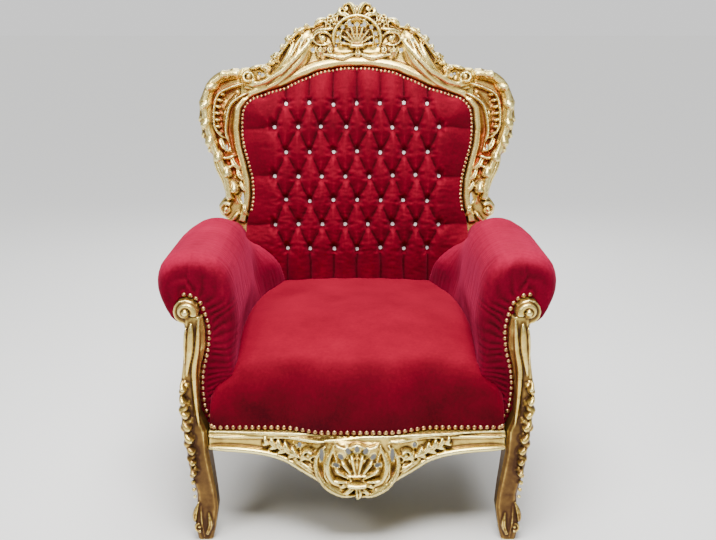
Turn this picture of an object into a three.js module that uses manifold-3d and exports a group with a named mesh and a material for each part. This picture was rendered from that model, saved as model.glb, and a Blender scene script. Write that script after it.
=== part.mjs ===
// A carved and gilded throne armchair with a button-tufted back, rolled arms, a pierced crest and a pierced apron.
// Millimetres, +Z up, the front towards -Y.
import * as THREE from "three";
import { mergeVertices } from "three/addons/utils/BufferGeometryUtils.js";
import Module from "manifold-3d";

const wasm = await Module();
wasm.setup();

// Driving sizes
const clearance = 0.5; // between any two pieces that meet
const railTop = 262; // where the cloth is nailed to the seat rails
const railHeight = 48;
const railThickness = 32;
const railBottom = railTop - railHeight;
const postFront = -372; // the front posts' front faces
const postX = 350; // centre of a front post at the seat rail
const postDepth = 58;
const postInside = 326; // the post's inner side at the rail
const footDepth = 28;
const voluteRadius = 27; // the scroll that ends the arm support
const voluteX = 363;
const voluteZ = 533;
const bowDepth = 30; // how far the front rail swells forward in the middle
const bowInner = 66; // it swells between these two distances from the middle
const bowOuter = 168;
const apronDrop = 86; // the apron's lowest point below the rail
const seatSetback = 12; // the cloth of the seat's front behind the posts' faces
const seatBrow = 410; // height of the seat's front edge
const seatCrown = 462; // the seat's highest point
const wingDepth = 52; // the seat's front corners pass in front of the arms as deep as this
const armTop = 655;
const armOuter = 431; // half width over the arms
const armFall = 46; // the roll is lower at its rear end
const armSetback = 26; // the arms' padded fronts behind the posts' faces
const outsideFront = 374; // half width over the side rails at the front
const panelThickness = 8; // the cloth panels outside the arms
const panelTop = 480;
const backTilt = THREE.MathUtils.degToRad(9.7);
const backY = 235; // the back frame's front face at the pivot height
const backPivotZ = 450;
const frameThickness = 26;
const jointX = 312; // where the crest rail meets the stiles
const jointW = 486;
const stileInside = 297;
const rearLegWide = 48;
const stileOutside = stileInside + rearLegWide;
const mouldingWidth = 27;
const rearFootY = 352;
const rearFootSide = 30;
const rearLegDeep = 44;
const buttonPitchX = 62.5;
const buttonPitchW = 64;
const buttonTopRow = 468;
const buttonRows = 7;
const buttonsInLongRow = 8;
const tuftThickness = 60; // from the frame's face to the top of a tuft
const tuftEdge = 9;
const buttonSink = 22;
const creaseSink = 13;
const cushionFoot = -42; // the back cushion's lower edge, below the pivot

const seatFront = postFront + seatSetback;
const armFront = postFront + armSetback;
const beyond = 900; // reaches past the whole throne

// Right half of the back cushion's outline, from the top centre: across, then up along the back
const cushionOutline = [
  [0, 563], [52, 560], [104, 550], [150, 531], [200, 509], [250, 494], [284, 480],
  [304, 454], [309, 403], [304, 360], [292, 315], [282, 268], [280, 225], [285, 190], [296, 150],
];
// Right half of the back frame's outer outline
const frameOutline = [
  [0, 718], [24, 736], [46, 716], [84, 696], [122, 670], [150, 666], [176, 648], [196, 622],
  [216, 602], [240, 578], [268, 568], [294, 566], [322, 564], [352, 560], [384, 546], [406, 520],
  [422, 480], [424, 440], [419, 402], [406, 366], [392, 338], [376, 308], [360, 278], [350, 250],
  [348, 228], [362, 216], [374, 198], [370, 176], [352, 162], [stileOutside, 150], [stileOutside, -40],
];
const crestPoints = 12; // how many of them belong to the crest
// The inner faces of the arms in plan: along Y, half distance between them
const armInside = [[-420, 264], [-330, 264], [-120, 270], [0, 260], [100, 234], [160, 206], [230, 170], [300, 150]];

const gilt = new THREE.MeshStandardMaterial({ color: 0xc79a45, roughness: 0.35, metalness: 1 });
const velvet = new THREE.MeshStandardMaterial({ color: 0xa3142c, roughness: 0.85, metalness: 0 });
const underCloth = new THREE.MeshStandardMaterial({ color: 0x1c1816, roughness: 0.95, metalness: 0 });

const { lerp, smoothstep, clamp } = THREE.MathUtils;
const toVectors = (points) => points.map(([x, z]) => new THREE.Vector2(x, z));
const flipPoints = (points) => points.map(([x, z]) => [-x, z]).reverse();
const bothHalves = (half) => [...flipPoints(half), ...half.filter(([x], i) => i || x)];

// Geometry as a solid, and a solid as geometry
function solidOf(geometry) {
  const bare = new THREE.BufferGeometry().setAttribute("position", geometry.getAttribute("position").clone());
  bare.setIndex(geometry.index);
  const merged = mergeVertices(bare.index ? bare.toNonIndexed() : bare, 1e-3);
  const tri = new Uint32Array(merged.index.array);
  const build = () => new wasm.Manifold(new wasm.Mesh({ numProp: 3, vertProperties: merged.attributes.position.array, triVerts: tri }));
  const made = build();
  if (made.volume() > 0) return made;
  for (let i = 0; i < tri.length; i += 3) [tri[i], tri[i + 1]] = [tri[i + 1], tri[i]];
  return build();
}

function geometryOf(solid) {
  const mesh = solid.getMesh();
  const geometry = new THREE.BufferGeometry().setAttribute("position", new THREE.BufferAttribute(mesh.vertProperties.slice(), 3));
  geometry.setIndex(new THREE.BufferAttribute(mesh.triVerts.slice(), 1));
  geometry.computeVertexNormals();
  return geometry;
}

const join = (solids) => solids.reduce((all, next) => all.add(next));
const cut = (solid, tools) => tools.reduce((left, tool) => left.subtract(tool), solid);
const flip = (solid) => solidOf(geometryOf(solid).scale(-1, 1, 1));
const withoutSlivers = (solid) => solid.simplify(0.2);

// A closed skin through rings of equally many points; crossed says which bands turn their diagonals round
function loft(rings, crossed = () => false) {
  const size = rings[0].length;
  const faces = [];
  for (let i = 0; i + 1 < rings.length; i++) {
    for (let j = 0; j < size; j++) {
      const [a, b] = [i * size + j, i * size + ((j + 1) % size)];
      faces.push(...(crossed(i) ? [a, b, a + size, b, b + size, a + size] : [a, b, b + size, a, b + size, a + size]));
    }
  }
  for (const first of [true, false]) {
    const ring = first ? rings[0] : rings.at(-1);
    const span = new THREE.Box3().setFromPoints(ring).getSize(new THREE.Vector3());
    const thin = Math.min(span.x, span.y, span.z);
    const flat = ring.map((p) => (span.x === thin ? new THREE.Vector2(p.y, p.z)
      : span.y === thin ? new THREE.Vector2(p.x, p.z) : new THREE.Vector2(p.x, p.y)));
    const keepsTurn = THREE.ShapeUtils.isClockWise(flat) === first;
    const start = first ? 0 : (rings.length - 1) * size;
    for (const [a, b, c] of THREE.ShapeUtils.triangulateShape(flat, [])) {
      faces.push(start + a, ...(keepsTurn ? [start + b, start + c] : [start + c, start + b]));
    }
  }
  const geometry = new THREE.BufferGeometry();
  geometry.setAttribute("position", new THREE.Float32BufferAttribute(rings.flat().flatMap((p) => p.toArray()), 3));
  geometry.setIndex(faces);
  return solidOf(geometry);
}

// A board in the XZ plane from a drawn outline, between two depths
function board(outline, front, back, bevel = 0) {
  const geometry = new THREE.ExtrudeGeometry(new THREE.Shape(outline), {
    depth: back - front - 2 * bevel,
    curveSegments: 1,
    bevelEnabled: bevel > 0,
    bevelThickness: bevel,
    bevelSize: bevel,
    bevelOffset: -bevel,
    bevelSegments: 1,
  });
  return solidOf(geometry.rotateX(Math.PI / 2).translate(0, back - bevel, 0));
}

// A plate in the XY plane from a drawn outline, between two heights
function plate(outline, bottom, top) {
  const geometry = new THREE.ExtrudeGeometry(new THREE.Shape(outline), { depth: top - bottom, bevelEnabled: false });
  return solidOf(geometry.translate(0, 0, bottom));
}

function box(x0, x1, y0, y1, z0, z1) {
  const geometry = new THREE.BoxGeometry(x1 - x0, y1 - y0, z1 - z0);
  return solidOf(geometry.translate((x0 + x1) / 2, (y0 + y1) / 2, (z0 + z1) / 2));
}

// A line of points moved sideways
function sidestep(points, distance, closed = false) {
  const turn = closed && THREE.ShapeUtils.isClockWise(points) ? -1 : 1;
  const n = points.length;
  return points.map((p, i) => {
    const before = points[closed ? (i + n - 1) % n : Math.max(i - 1, 0)];
    const after = points[closed ? (i + 1) % n : Math.min(i + 1, n - 1)];
    const along = after.clone().sub(before).normalize();
    return new THREE.Vector2(p.x + along.y * distance * turn, p.y - along.x * distance * turn);
  });
}

// Carving: a ridge along a line in the XZ plane, raised towards -Y from a face and sunk a little into it
const swellings = {
  leaf: (t) => 0.32 + 0.68 * Math.sin(Math.PI * Math.pow(t, 0.75)),
  drop: (t) => 1 - 0.7 * t,
  rib: (t) => 0.45 + 0.55 * t,
  even: () => 1,
};
const sections = {
  sharp: (high, sink) => [[-0.5, sink], [0, -high], [0.5, sink]],
  round: (high, sink) => [[-0.5, sink], [-0.27, -high], [0.27, -high], [0.5, sink]],
};
function ridge(points, wide, high, { swelling = "leaf", section = "sharp", steps = 2, face = 0, sink = 6 } = {}) {
  const line = new THREE.SplineCurve(toVectors(points));
  const rings = Array.from({ length: steps + 1 }, (_, i) => {
    const p = line.getPoint(i / steps);
    const along = line.getTangent(i / steps);
    const swell = swellings[swelling](i / steps);
    return sections[section](high * swell, sink).map(([across, y]) => {
      const d = across * wide * swell;
      return new THREE.Vector3(p.x - along.y * d, face + y, p.y + along.x * d);
    });
  });
  return loft(rings);
}

// A single leaf or petal: a kite with a raised spine
function leaf([x0, z0], [x1, z1], wide, high, face = 0) {
  const [dx, dz] = [x1 - x0, z1 - z0];
  const k = wide / 2 / Math.hypot(dx, dz);
  const [mx, mz] = [x0 + 0.5 * dx, z0 + 0.5 * dz];
  const rim = [[x0, z0], [mx - dz * k, mz + dx * k], [x1, z1], [mx + dz * k, mz - dx * k]];
  const corners = rim.map(([x, z]) => [x, face + 1.5, z]);
  const points = [...corners, [mx, face - high, mz], [mx, face + 8, mz]].flat();
  const sides = [0, 1, 2, 3].flatMap((i) => [i, (i + 1) % 4, 4, (i + 1) % 4, i, 5]);
  const geometry = new THREE.BufferGeometry().setAttribute("position", new THREE.Float32BufferAttribute(points, 3));
  geometry.setIndex(sides);
  return solidOf(geometry);
}

// Leaves that spring from a stem at an angle, the longest in the middle of the row
function leafRow(stem, count, long, angle, { wide = 0.75, high = 17, face = 0, shortest = 0.6 } = {}) {
  const line = new THREE.SplineCurve(toVectors(stem));
  return Array.from({ length: count }, (_, i) => {
    const t = (i + 0.5) / count;
    const reach = long * lerp(shortest, 1, Math.sin(Math.PI * t));
    const way = line.getTangent(t).rotateAround(new THREE.Vector2(), angle).multiplyScalar(reach);
    const root = line.getPoint(t);
    return leaf([root.x - way.x * 0.2, root.y - way.y * 0.2], [root.x + way.x, root.y + way.y], reach * wide, high, face);
  });
}

// A spiral that winds from its rim into its eye
function volute(x, z, radius, { start = 0, hand = 1, turns = 1, wide = 11, high = 20, face = 0, steps = 8 } = {}) {
  const points = Array.from({ length: 7 }, (_, i) => {
    const angle = start + (hand * i * turns * 2 * Math.PI) / 6;
    const r = lerp(radius - wide / 2, wide * 0.35, i / 6);
    return [x + r * Math.cos(angle), z + r * Math.sin(angle)];
  });
  return ridge(points, wide, high, { swelling: "drop", steps, face });
}

function boss(x, z, radius, high, { face = 0, sides = 5, sink = 4 } = {}) {
  const geometry = new THREE.CylinderGeometry(radius, radius * 0.5, high + sink, sides, 1);
  return solidOf(geometry.rotateX(Math.PI / 2).translate(x, face + (sink - high) / 2, z));
}

// A flower of petals round a boss
function rosette(x, z, radius, { petals = 5, high = 15, face = 0, turn = 0.3 } = {}) {
  const parts = [boss(x, z, radius * 0.42, high, { face })];
  for (let i = 0; i < petals; i++) {
    const angle = turn + (i / petals) * 2 * Math.PI;
    const at = (r) => [x + r * Math.cos(angle), z + r * Math.sin(angle)];
    parts.push(leaf(at(radius * 0.1), at(radius), radius * 0.9, high * 0.85, face));
  }
  return parts;
}

// A scallop shell: ribs that fan out from a bar
function shell(x, z, radius, { ribs = 7, face = 0, high = 17 } = {}) {
  const bar = ridge([[x - radius * 0.5, z], [x + radius * 0.5, z]], radius * 0.3, high, { swelling: "even", steps: 1, face });
  const fan = Array.from({ length: ribs }, (_, i) => {
    const angle = lerp(0.08, 0.92, i / (ribs - 1)) * Math.PI;
    const at = (r) => [x + r * Math.cos(angle), z + r * Math.sin(angle)];
    return ridge([at(radius * 0.1), at(radius)], radius * 0.3, high, { swelling: "rib", steps: 1, face });
  });
  return [bar, ...fan];
}

function arc(x, z, radiusX, radiusZ, from, to, count = 7) {
  return Array.from({ length: count }, (_, i) => {
    const angle = lerp(from, to, i / (count - 1)) * Math.PI;
    return [x + radiusX * Math.cos(angle), z + radiusZ * Math.sin(angle)];
  });
}

function piercing(x, z, radius, { sides = 5, tall = 1, depth = 120 } = {}) {
  const geometry = new THREE.CylinderGeometry(radius, radius, depth, sides, 1);
  return solidOf(geometry.scale(1, 1, tall).translate(x, 0, z));
}

// The back, drawn upright with its front face at Y = 0; its group leans it
function cushionArea(grow, foot = cushionFoot) {
  const half = [...cushionOutline, [cushionOutline.at(-1)[0], foot]];
  return sidestep(toVectors(bothHalves(half)), grow, true);
}

// How far a point lies inside the cushion's curved edge
function insetFromEdge(x, w) {
  const p = new THREE.Vector2(Math.abs(x), w);
  const gaps = cushionOutline.slice(1).map(([bx, bw], i) => {
    const a = new THREE.Vector2(...cushionOutline[i]);
    const span = new THREE.Vector2(bx, bw).sub(a);
    const t = clamp(p.clone().sub(a).dot(span) / span.lengthSq(), 0, 1);
    return p.distanceTo(a.addScaledVector(span, t));
  });
  return Math.min(...gaps);
}

const cushionSwell = (x, w) => Math.sqrt(smoothstep(insetFromEdge(x, w), -24, 85)) * lerp(0.55, 1, smoothstep(w, -40, 120));

// The depth of the pleats between the buttons: diamonds inside, straight pleats out to the edges
function creases(x, w) {
  const across = x / buttonPitchX;
  const down = (buttonTopRow - w) / (2 * buttonPitchW);
  const lastRow = (buttonRows - 1) / 2;
  const diamond = Math.abs(Math.sin(Math.PI * (across + down)) * Math.sin(Math.PI * (across - down)));
  const upright = Math.abs(Math.sin(Math.PI * across));
  const level = Math.abs(Math.cos(Math.PI * down));
  const outsideRows = Math.max(smoothstep(-down, 0, 0.4), smoothstep(down - lastRow, 0, 0.4));
  const aside = smoothstep(Math.abs(across), 3.2, 3.8);
  const puff = lerp(lerp(diamond, level, aside), upright, outsideRows);
  return creaseSink * (1 - Math.pow(puff, 0.6));
}

function buttonPlaces() {
  const rows = Array.from({ length: buttonRows }, (_, row) => {
    const count = buttonsInLongRow - ((row + 1) % 2);
    return Array.from({ length: count }, (_, i) => [(i - (count - 1) / 2) * buttonPitchX, buttonTopRow - row * buttonPitchW]);
  });
  return rows.flat();
}

function cushionFront(x, w, tufted) {
  const swell = cushionSwell(x, w);
  const smoothFront = lerp(tuftEdge, tuftThickness, swell);
  if (!tufted) return -smoothFront;
  const near = Math.max(...buttonPlaces().map(([bx, bw]) => 1 - Math.hypot(x - bx, w - bw) / 22), 0);
  return -(smoothFront - swell * Math.max(creases(x, w), buttonSink * near));
}

// A slab whose points are staggered so that its edges run along the diamonds' sides; the coarse one only cuts
function backCushion(grow, tufted) {
  const stepX = buttonPitchX / (tufted ? 4 : 1);
  const stepW = buttonPitchW / (tufted ? 2 : 1);
  const columns = Math.ceil(656 / stepX / 2) * 2;
  const top = buttonTopRow + 2 * buttonPitchW;
  const rows = Math.ceil((top - cushionFoot) / stepW / 2) + 1;
  const rear = frameThickness * 0.3 + grow;
  const rings = Array.from({ length: columns + 1 }, (_, i) => {
    const x = (i - columns / 2) * stepX;
    const odd = Math.abs(i - columns / 2) % 2;
    const heights = Array.from({ length: rows }, (_, j) => top - (2 * j + odd) * stepW);
    const front = heights.map((w) => new THREE.Vector3(x, cushionFront(x, w, tufted) - 4 * grow, w));
    return [new THREE.Vector3(x, rear, heights[0]), ...front, new THREE.Vector3(x, rear, heights.at(-1))];
  });
  const slab = loft(rings, (i) => Math.abs(i - columns / 2) % 2 === 0);
  return slab.intersect(board(cushionArea(grow), -150, 60));
}

function frameBoard() {
  return board(toVectors(bothHalves([...frameOutline, [stileInside - 20, -40]])), 0, frameThickness);
}

// The smooth moulding that borders the cushion
function moulding(points, steps, grow = 0) {
  const middle = sidestep(toVectors(points), -mouldingWidth / 2 - 1).map((p) => [p.x, p.y]);
  return ridge(middle, mouldingWidth + 2 * grow, 12 + grow, { swelling: "even", section: "round", steps, sink: 5 + grow });
}

// One half of the crest's carving
function crestHalf() {
  const stem = [[108, 652], [148, 606], [200, 552], [262, 520], [300, 520]];
  const lowerStem = [[112, 634], [150, 590], [198, 538], [250, 508]];
  return [
    // The palmette on the arch, a rose, then scrolls and buds beside the shell
    ridge([[3, 690], [6, 714], [24, 738]], 24, 26, { steps: 3 }),
    ridge([[16, 692], [34, 708], [50, 700]], 16, 19),
    ...rosette(68, 684, 21, { high: 19 }),
    ridge(arc(80, 646, 22, 20, 0.9, -0.6, 5), 13, 18, { steps: 5 }),
    ridge([[4, 604], [42, 594], [82, 612]], 18, 17, { steps: 3 }),
    ...rosette(92, 598, 13, { petals: 4 }),
    // The long acanthus that sweeps down to the shoulder's small scroll
    ridge(stem, 24, 25, { steps: 6, section: "round" }),
    ...leafRow(stem, 6, 46, 0.75, { high: 22 }),
    ...leafRow(lowerStem, 5, 30, -0.6, { high: 15 }),
    volute(288, 542, 20, { start: 3.8, hand: -1, high: 24 }),
  ];
}

function crestRail() {
  const right = join(crestHalf());
  const edge = bothHalves(cushionOutline.slice(0, 7));
  const parts = [frameBoard(), moulding(edge, 12), ...shell(0, 622, 38), right, flip(right)];
  parts.push(ridge(arc(0, 640, 46, 53, -0.12, 1.12), 13, 22, { swelling: "even", steps: 8 }));
  const holes = arc(0, 640, 36, 40, -0.06, 1.06, 6).map(([x, w]) => piercing(x, w, 6));
  for (const [x, w] of [[118, 618], [57, 624], [262, 550]]) {
    holes.push(piercing(x, w, 6), piercing(-x, w, 6));
  }
  const region = toVectors([[-jointX, jointW], [jointX, jointW], [jointX, beyond], [-jointX, beyond]]);
  const whole = cut(join(parts), [board(cushionArea(clearance), -150, 150), ...holes]);
  return withoutSlivers(whole.intersect(board(region, -100, 100)));
}

// A leg of chamfered square section through stations of height, centre and sides
function leg(stations, seenFrom = (p) => p) {
  const rings = stations.map(([z, x, y, wide, deep]) => {
    const [a, b, c] = [wide / 2, deep / 2, 0.7];
    const front = [[-a, -b * c], [-a * c, -b], [a * c, -b], [a, -b * c]];
    const corners = [...front, ...front.map(([dx, dy]) => [-dx, -dy])];
    return corners.map(([dx, dy]) => seenFrom(new THREE.Vector3(x + dx, y + dy, z)));
  });
  return loft(rings);
}

// The leaning face's distance along Y at a height
const faceY = (z) => backY + (z - backPivotZ) * Math.tan(backTilt);
const rearLegY = (z) => faceY(z) + rearLegDeep / 2;

// A point of the standing chair as the leaning group sees it, and a leaning solid stood in its place
const upright = new THREE.Matrix4().makeRotationX(-backTilt).setPosition(0, backY, backPivotZ);
const leaning = upright.clone().invert();
const stood = (solid) => solidOf(geometryOf(solid).applyMatrix4(upright));

function rearStile() {
  const scroll = [[306, 548], [350, 545], [388, 522], [405, 478], [404, 432], [390, 372], [366, 316], [348, 262], [342, 212]];
  const lobes = frameOutline.slice(crestPoints, 24).map(([x, w]) => [x - 12, w - 7]);
  const parts = [
    frameBoard(),
    moulding(cushionOutline.slice(5), 9),
    // The great C scroll of the shoulder, its volute on the arm, and the leaves along its outside
    ridge(scroll, 25, 25, { swelling: "even", section: "round", steps: 12 }),
    volute(354, 190, 23, { start: 2.4, hand: -1, wide: 14, high: 25 }),
    ...leafRow(lobes, 10, 22, 0.9, { wide: 0.9, high: 21 }),
    // The inner scroll, with a row of pearls between the two
    ridge([[318, 496], [348, 462], [356, 424], [346, 380], [336, 338]], 9, 15, { steps: 6, swelling: "even" }),
    ...[0, 1, 2, 3].map((i) => boss(371 + 7 * Math.sin(i), 488 - 26 * i, 7, 12)),
    ...leafRow([[366, 372], [344, 322], [326, 262]], 4, 24, -2.2, { high: 17 }),
    ridge([[322, 206], [326, 226], [336, 240]], 15, 15),
  ];
  const straight = (stileInside + stileOutside) / 2;
  const wide = rearLegWide;
  parts.push(leg([
    [0, straight, rearFootY, rearFootSide, rearFootSide],
    [60, straight, rearFootY - 26, rearFootSide + 2, rearFootSide + 4],
    [130, straight, rearFootY - 68, rearLegDeep - 4, rearLegDeep],
    [railBottom, straight, rearLegY(railTop) + 8, wide, rearLegDeep + 4],
    [railTop, straight, rearLegY(railTop), wide, rearLegDeep],
    [backPivotZ, straight, rearLegY(backPivotZ) - 3, wide, rearLegDeep - 6],
    [backPivotZ + 130, straight, rearLegY(backPivotZ + 130) - 8, wide - 8, rearLegDeep - 17],
  ], (p) => p.applyMatrix4(leaning)));
  const holes = [piercing(311, 214, 4, { tall: 4 }), piercing(359, 480, 4), piercing(363, 452, 4), piercing(363, 424, 4)];
  const region = toVectors([
    [stileInside - 60, -beyond], [beyond, -beyond], [beyond, beyond], [jointX + clearance, beyond],
    [jointX + clearance, jointW - clearance], [stileInside - 60, jointW - clearance],
  ]);
  const whole = cut(join(parts), [board(cushionArea(clearance, -beyond), -150, 150), ...holes]);
  return withoutSlivers(whole.intersect(board(region, -100, 300)));
}

// The cloth that closes the back from behind, down to the rear rail
function backPanel() {
  const foot = (railTop + 5 - backPivotZ) / Math.cos(backTilt);
  return board(cushionArea(-clearance, foot), frameThickness * 0.3 + clearance + 0.5, frameThickness - 3);
}

// The front rail with its apron; its face swells forward in the middle
const bow = (x) => bowDepth * (smoothstep(Math.abs(x), bowInner, bowOuter) - 1);

function bowed(solid) {
  const geometry = geometryOf(solid);
  const positions = geometry.getAttribute("position");
  for (let i = 0; i < positions.count; i++) positions.setY(i, positions.getY(i) + bow(positions.getX(i)));
  return solidOf(geometry);
}

function apronHalf(lowest, edge) {
  const end = postInside;
  const spray = [[96, lowest + 82], [140, lowest + 84], [200, lowest + 112]];
  return [
    ridge(edge.slice(3).map(([x, z]) => [x, z + 9]), 15, 12, { swelling: "even", steps: 6 }),
    ridge([[end, railTop - 12], [200, railTop - 12], [70, railTop - 13]], 9, 9, { swelling: "even", steps: 3 }),
    // The C scrolls that hold the shell, and the leaves that spray out along the rail
    ridge([[8, lowest + 8], [46, lowest + 16], [70, lowest + 46], [68, lowest + 84], [46, lowest + 106]], 17, 22, { steps: 6 }),
    ridge([[52, lowest + 110], [44, lowest + 78], [40, lowest + 50]], 13, 15),
    volute(92, lowest + 78, 20, { start: 2.4, hand: -1 }),
    ridge([[78, lowest + 50], [104, lowest + 64], [140, lowest + 70]], 17, 17),
    ridge(spray, 10, 15, { steps: 3 }),
    ...leafRow(spray, 5, 27, 0.7, { high: 16 }),
    ...leafRow(spray, 4, 24, -0.7, { high: 15 }),
  ];
}

function frontRail() {
  const lowest = railBottom - apronDrop;
  const end = postInside - clearance;
  const half = [
    [0, lowest], [34, lowest + 6], [62, lowest + 22], [90, lowest + 42], [126, lowest + 50],
    [164, railBottom - 20], [206, railBottom - 7], [260, railBottom - 1], [end, railBottom],
  ];
  const top = Array.from({ length: 11 }, (_, i) => [lerp(end, -end, i / 10), railTop]);
  const right = join(apronHalf(lowest, half));
  const parts = [board(toVectors([...bothHalves(half), ...top]), 0, railThickness), right, flip(right)];
  parts.push(...shell(0, lowest + 46, 44, { high: 21 }));
  parts.push(...rosette(0, lowest + 20, 20, { high: 19, turn: -Math.PI / 2 }));
  parts.push(ridge([[-44, railTop - 14], [0, railTop - 20], [44, railTop - 14]], 16, 15, { steps: 4 }));
  const holes = arc(0, lowest + 56, 43, 41, 0, 1, 6).map(([x, z]) => piercing(x, z, 6));
  for (const side of [-1, 1]) holes.push(piercing(side * 57, lowest + 78, 5, { tall: 2 }), piercing(side * 128, lowest + 93, 4));
  const keep = box(-end, end, -60, railThickness, 0, railTop);
  const flat = cut(join(parts), holes).intersect(keep);
  return bowed(solidOf(geometryOf(withoutSlivers(flat)).translate(0, postFront + 10, 0)));
}

// A front post in one piece: cabriole leg, arm support and volute. Stations of height, centre, width and depth
const armSupport = [
  [298, 361, 36], [336, 365, 40], [372, 362, 38], [410, 356, 38], [452, 348, 45], [494, 346, 42], [522, 350, 40],
];
function frontPost() {
  const face = postFront + 4;
  const middle = postFront + postDepth / 2;
  const support = armSupport.map(([z, x, wide]) => [z, x, middle, wide, postDepth - 8]);
  const shaft = leg([
    [0, 340, postFront + 24, 33, footDepth], [20, 339, postFront + 24, 41, 35], [44, 338, postFront + 26, 47, 40],
    [80, 333, postFront + 29, 47, 42], [110, 334, postFront + 30, 44, 44], [145, 340, postFront + 31, 47, 54],
    [180, postX - 4, middle + 3, 50, postDepth + 4], [railBottom, postX, middle + 5, 48, postDepth + 8],
    [railTop, postX + 1, middle, 46, postDepth], ...support,
  ]);
  const drum = new THREE.CylinderGeometry(voluteRadius, voluteRadius, postDepth - 8, 12, 1);
  drum.translate(voluteX, middle + 2, voluteZ);
  const fall = [[368, 392], [371, 340], [366, 280], [359, 226], [354, 168]];
  const parts = [
    shaft,
    solidOf(drum),
    volute(voluteX, voluteZ, voluteRadius, { start: 3.5, hand: -1, wide: 13, high: 9, face: face + 3, turns: 1.2, steps: 10 }),
    boss(voluteX + 1, voluteZ, 8, 12, { face: face + 3, sides: 6 }),
    ridge([[334, 516], [338, 450], [350, 390], [352, 300]], 10, 7, { steps: 5, face }),
    ridge([[352, 506], [358, 450], [366, 400]], 12, 8, { steps: 3, face }),
    // Husks that fall down the arm support and over the knee, and the leaf on the toe
    ...leafRow(fall, 6, 28, -0.55, { high: 12, face }),
    ...leafRow(fall, 7, 28, 0.55, { high: 12, face }),
    ridge([[342, 8], [346, 44], [348, 84]], 22, 9, { face: face + 6 }),
    leaf([334, 12], [328, 60], 14, 8, face + 6),
  ];
  return withoutSlivers(join(parts).intersect(box(250, 450, -500, -200, 0, 700)));
}

// The space that a post and its volute take from the upholstery, seen from the front
function postCutter() {
  const left = armSupport.map(([z, x, wide]) => [x - wide / 2 - clearance, z]);
  const right = armSupport.slice(0, -1).map(([z, x, wide]) => [x + wide / 2 + 3, z]);
  const round = arc(voluteX, voluteZ, voluteRadius + 2.5, voluteRadius + 2.5, 1.1, -0.4, 9);
  const outline = [[postInside - clearance, 200], [postInside - clearance, railTop + 4], ...left, ...round, ...right.reverse(), [450, 290], [450, 200]];
  return board(toVectors(outline), -500, postFront + postDepth + clearance);
}

// The seat's plan: how far out its sides stand
const sideLength = faceY(railTop) - postFront - postDepth - 9;
const sideFront = postFront + postDepth + 9;
const outsideAt = (y) => lerp(outsideFront, stileOutside, Math.max(0, (y - sideFront) / sideLength));
function insideAt(y) {
  const i = Math.max(1, armInside.findIndex(([at]) => at >= y));
  const [[y0, x0], [y1, x1]] = [armInside[i - 1], armInside[i]];
  return lerp(x0, x1, (y - y0) / (y1 - y0));
}

// The rail between a post and a rear leg, with a shallow drop in the middle of its lower edge
function sideRail() {
  const rings = Array.from({ length: 9 }, (_, i) => {
    const y = sideFront + clearance + ((sideLength - 2 * clearance) * i) / 8;
    const outer = outsideAt(y);
    const inner = outer - railThickness;
    const low = railBottom - 16 * Math.pow(Math.sin((Math.PI * i) / 8), 4);
    const corners = [[inner, low], [inner, railTop], [outer - 3, railTop], [outer, railTop - 4], [outer, low + 9], [outer - 9, low]];
    return corners.map(([x, z]) => new THREE.Vector3(x, y, z));
  });
  return loft(rings);
}

function rearRail() {
  const half = stileInside - clearance;
  const front = faceY(railTop) + 4;
  return box(-half, half, front, front + railThickness, railBottom, railTop);
}

function seatTop(x, depth) {
  const crown = lerp(seatBrow, seatCrown, Math.sin((Math.PI / 2) * clamp(depth / 300, 0, 1)));
  const brow = Math.sqrt(Math.max(0, 1 - Math.pow(1 - Math.min(1, depth / 58), 2.2)));
  const shoulder = Math.sqrt(1 - Math.pow(Math.abs(x) / (postInside + 8), 8));
  const low = railTop + 16;
  return lerp(low, lerp(low, crown, shoulder) - 12 * Math.pow(x / 270, 2), brow);
}

function seatCushion(grow, tools = []) {
  const half = postInside - 4;
  const depths = [0, 3, 14, 32, 58, 110, 200, 320, 460, 640];
  const rings = [-1, -0.96, -0.86, -0.7, -0.45, -0.2, 0, 0.2, 0.45, 0.7, 0.86, 0.96, 1].map((c) => {
    const x = c * (half + grow);
    const front = seatFront + bow(c * half);
    const top = depths.map((d, i) => new THREE.Vector3(x, front + d - (i ? 0 : grow), seatTop(c * half, d) + grow));
    const low = railTop + clearance - grow;
    return [new THREE.Vector3(x, top[0].y, low), ...top, new THREE.Vector3(x, top.at(-1).y, low)];
  });
  const wing = seatFront + wingDepth + grow;
  const side = armInside.filter(([y]) => y > wing).map(([y, x]) => [x + grow, y]);
  const plan = [[half + 1, -500], [half + 1, wing], [insideAt(wing) + grow, wing], ...side];
  const whole = loft(rings, (i) => i < (rings.length - 1) / 2);
  return cut(whole.intersect(plate(toVectors([...plan, ...flipPoints(plan)]), 0, 700)), tools);
}

// An arm: a low wall under a fat roll that overhangs its outside and dies away towards the back
function armSection(y) {
  const back = smoothstep(y, -60, 200);
  const inner = insideAt(y) + clearance;
  const wall = outsideAt(y) - panelThickness;
  const outer = lerp(armOuter, 386, smoothstep(y, -60, 260));
  const corner = smoothstep(y, 50, 205); // the arm fills the corner beside the back
  const bulge = lerp(258, 268, back);
  const top = armTop - armFall * smoothstep(y, 30, 255);
  const low = railTop + clearance;
  return [
    [inner, low], [inner, 425], [lerp(bulge - 2, 204, corner), 500], [lerp(bulge + 2, 243, corner), 542],
    [lerp(bulge + 14, 286, corner), top - 53], [bulge + 44, top - 14],
    [lerp(344, 346, back), top], [lerp(392, 370, back), top - 10], [lerp(430, 386, back), top - 40],
    [outer, top - 73], [outer - 14, top - 110], [lerp(403, 380, back), 508 - 6 * back], [wall, panelTop], [wall, low],
  ];
}

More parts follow.
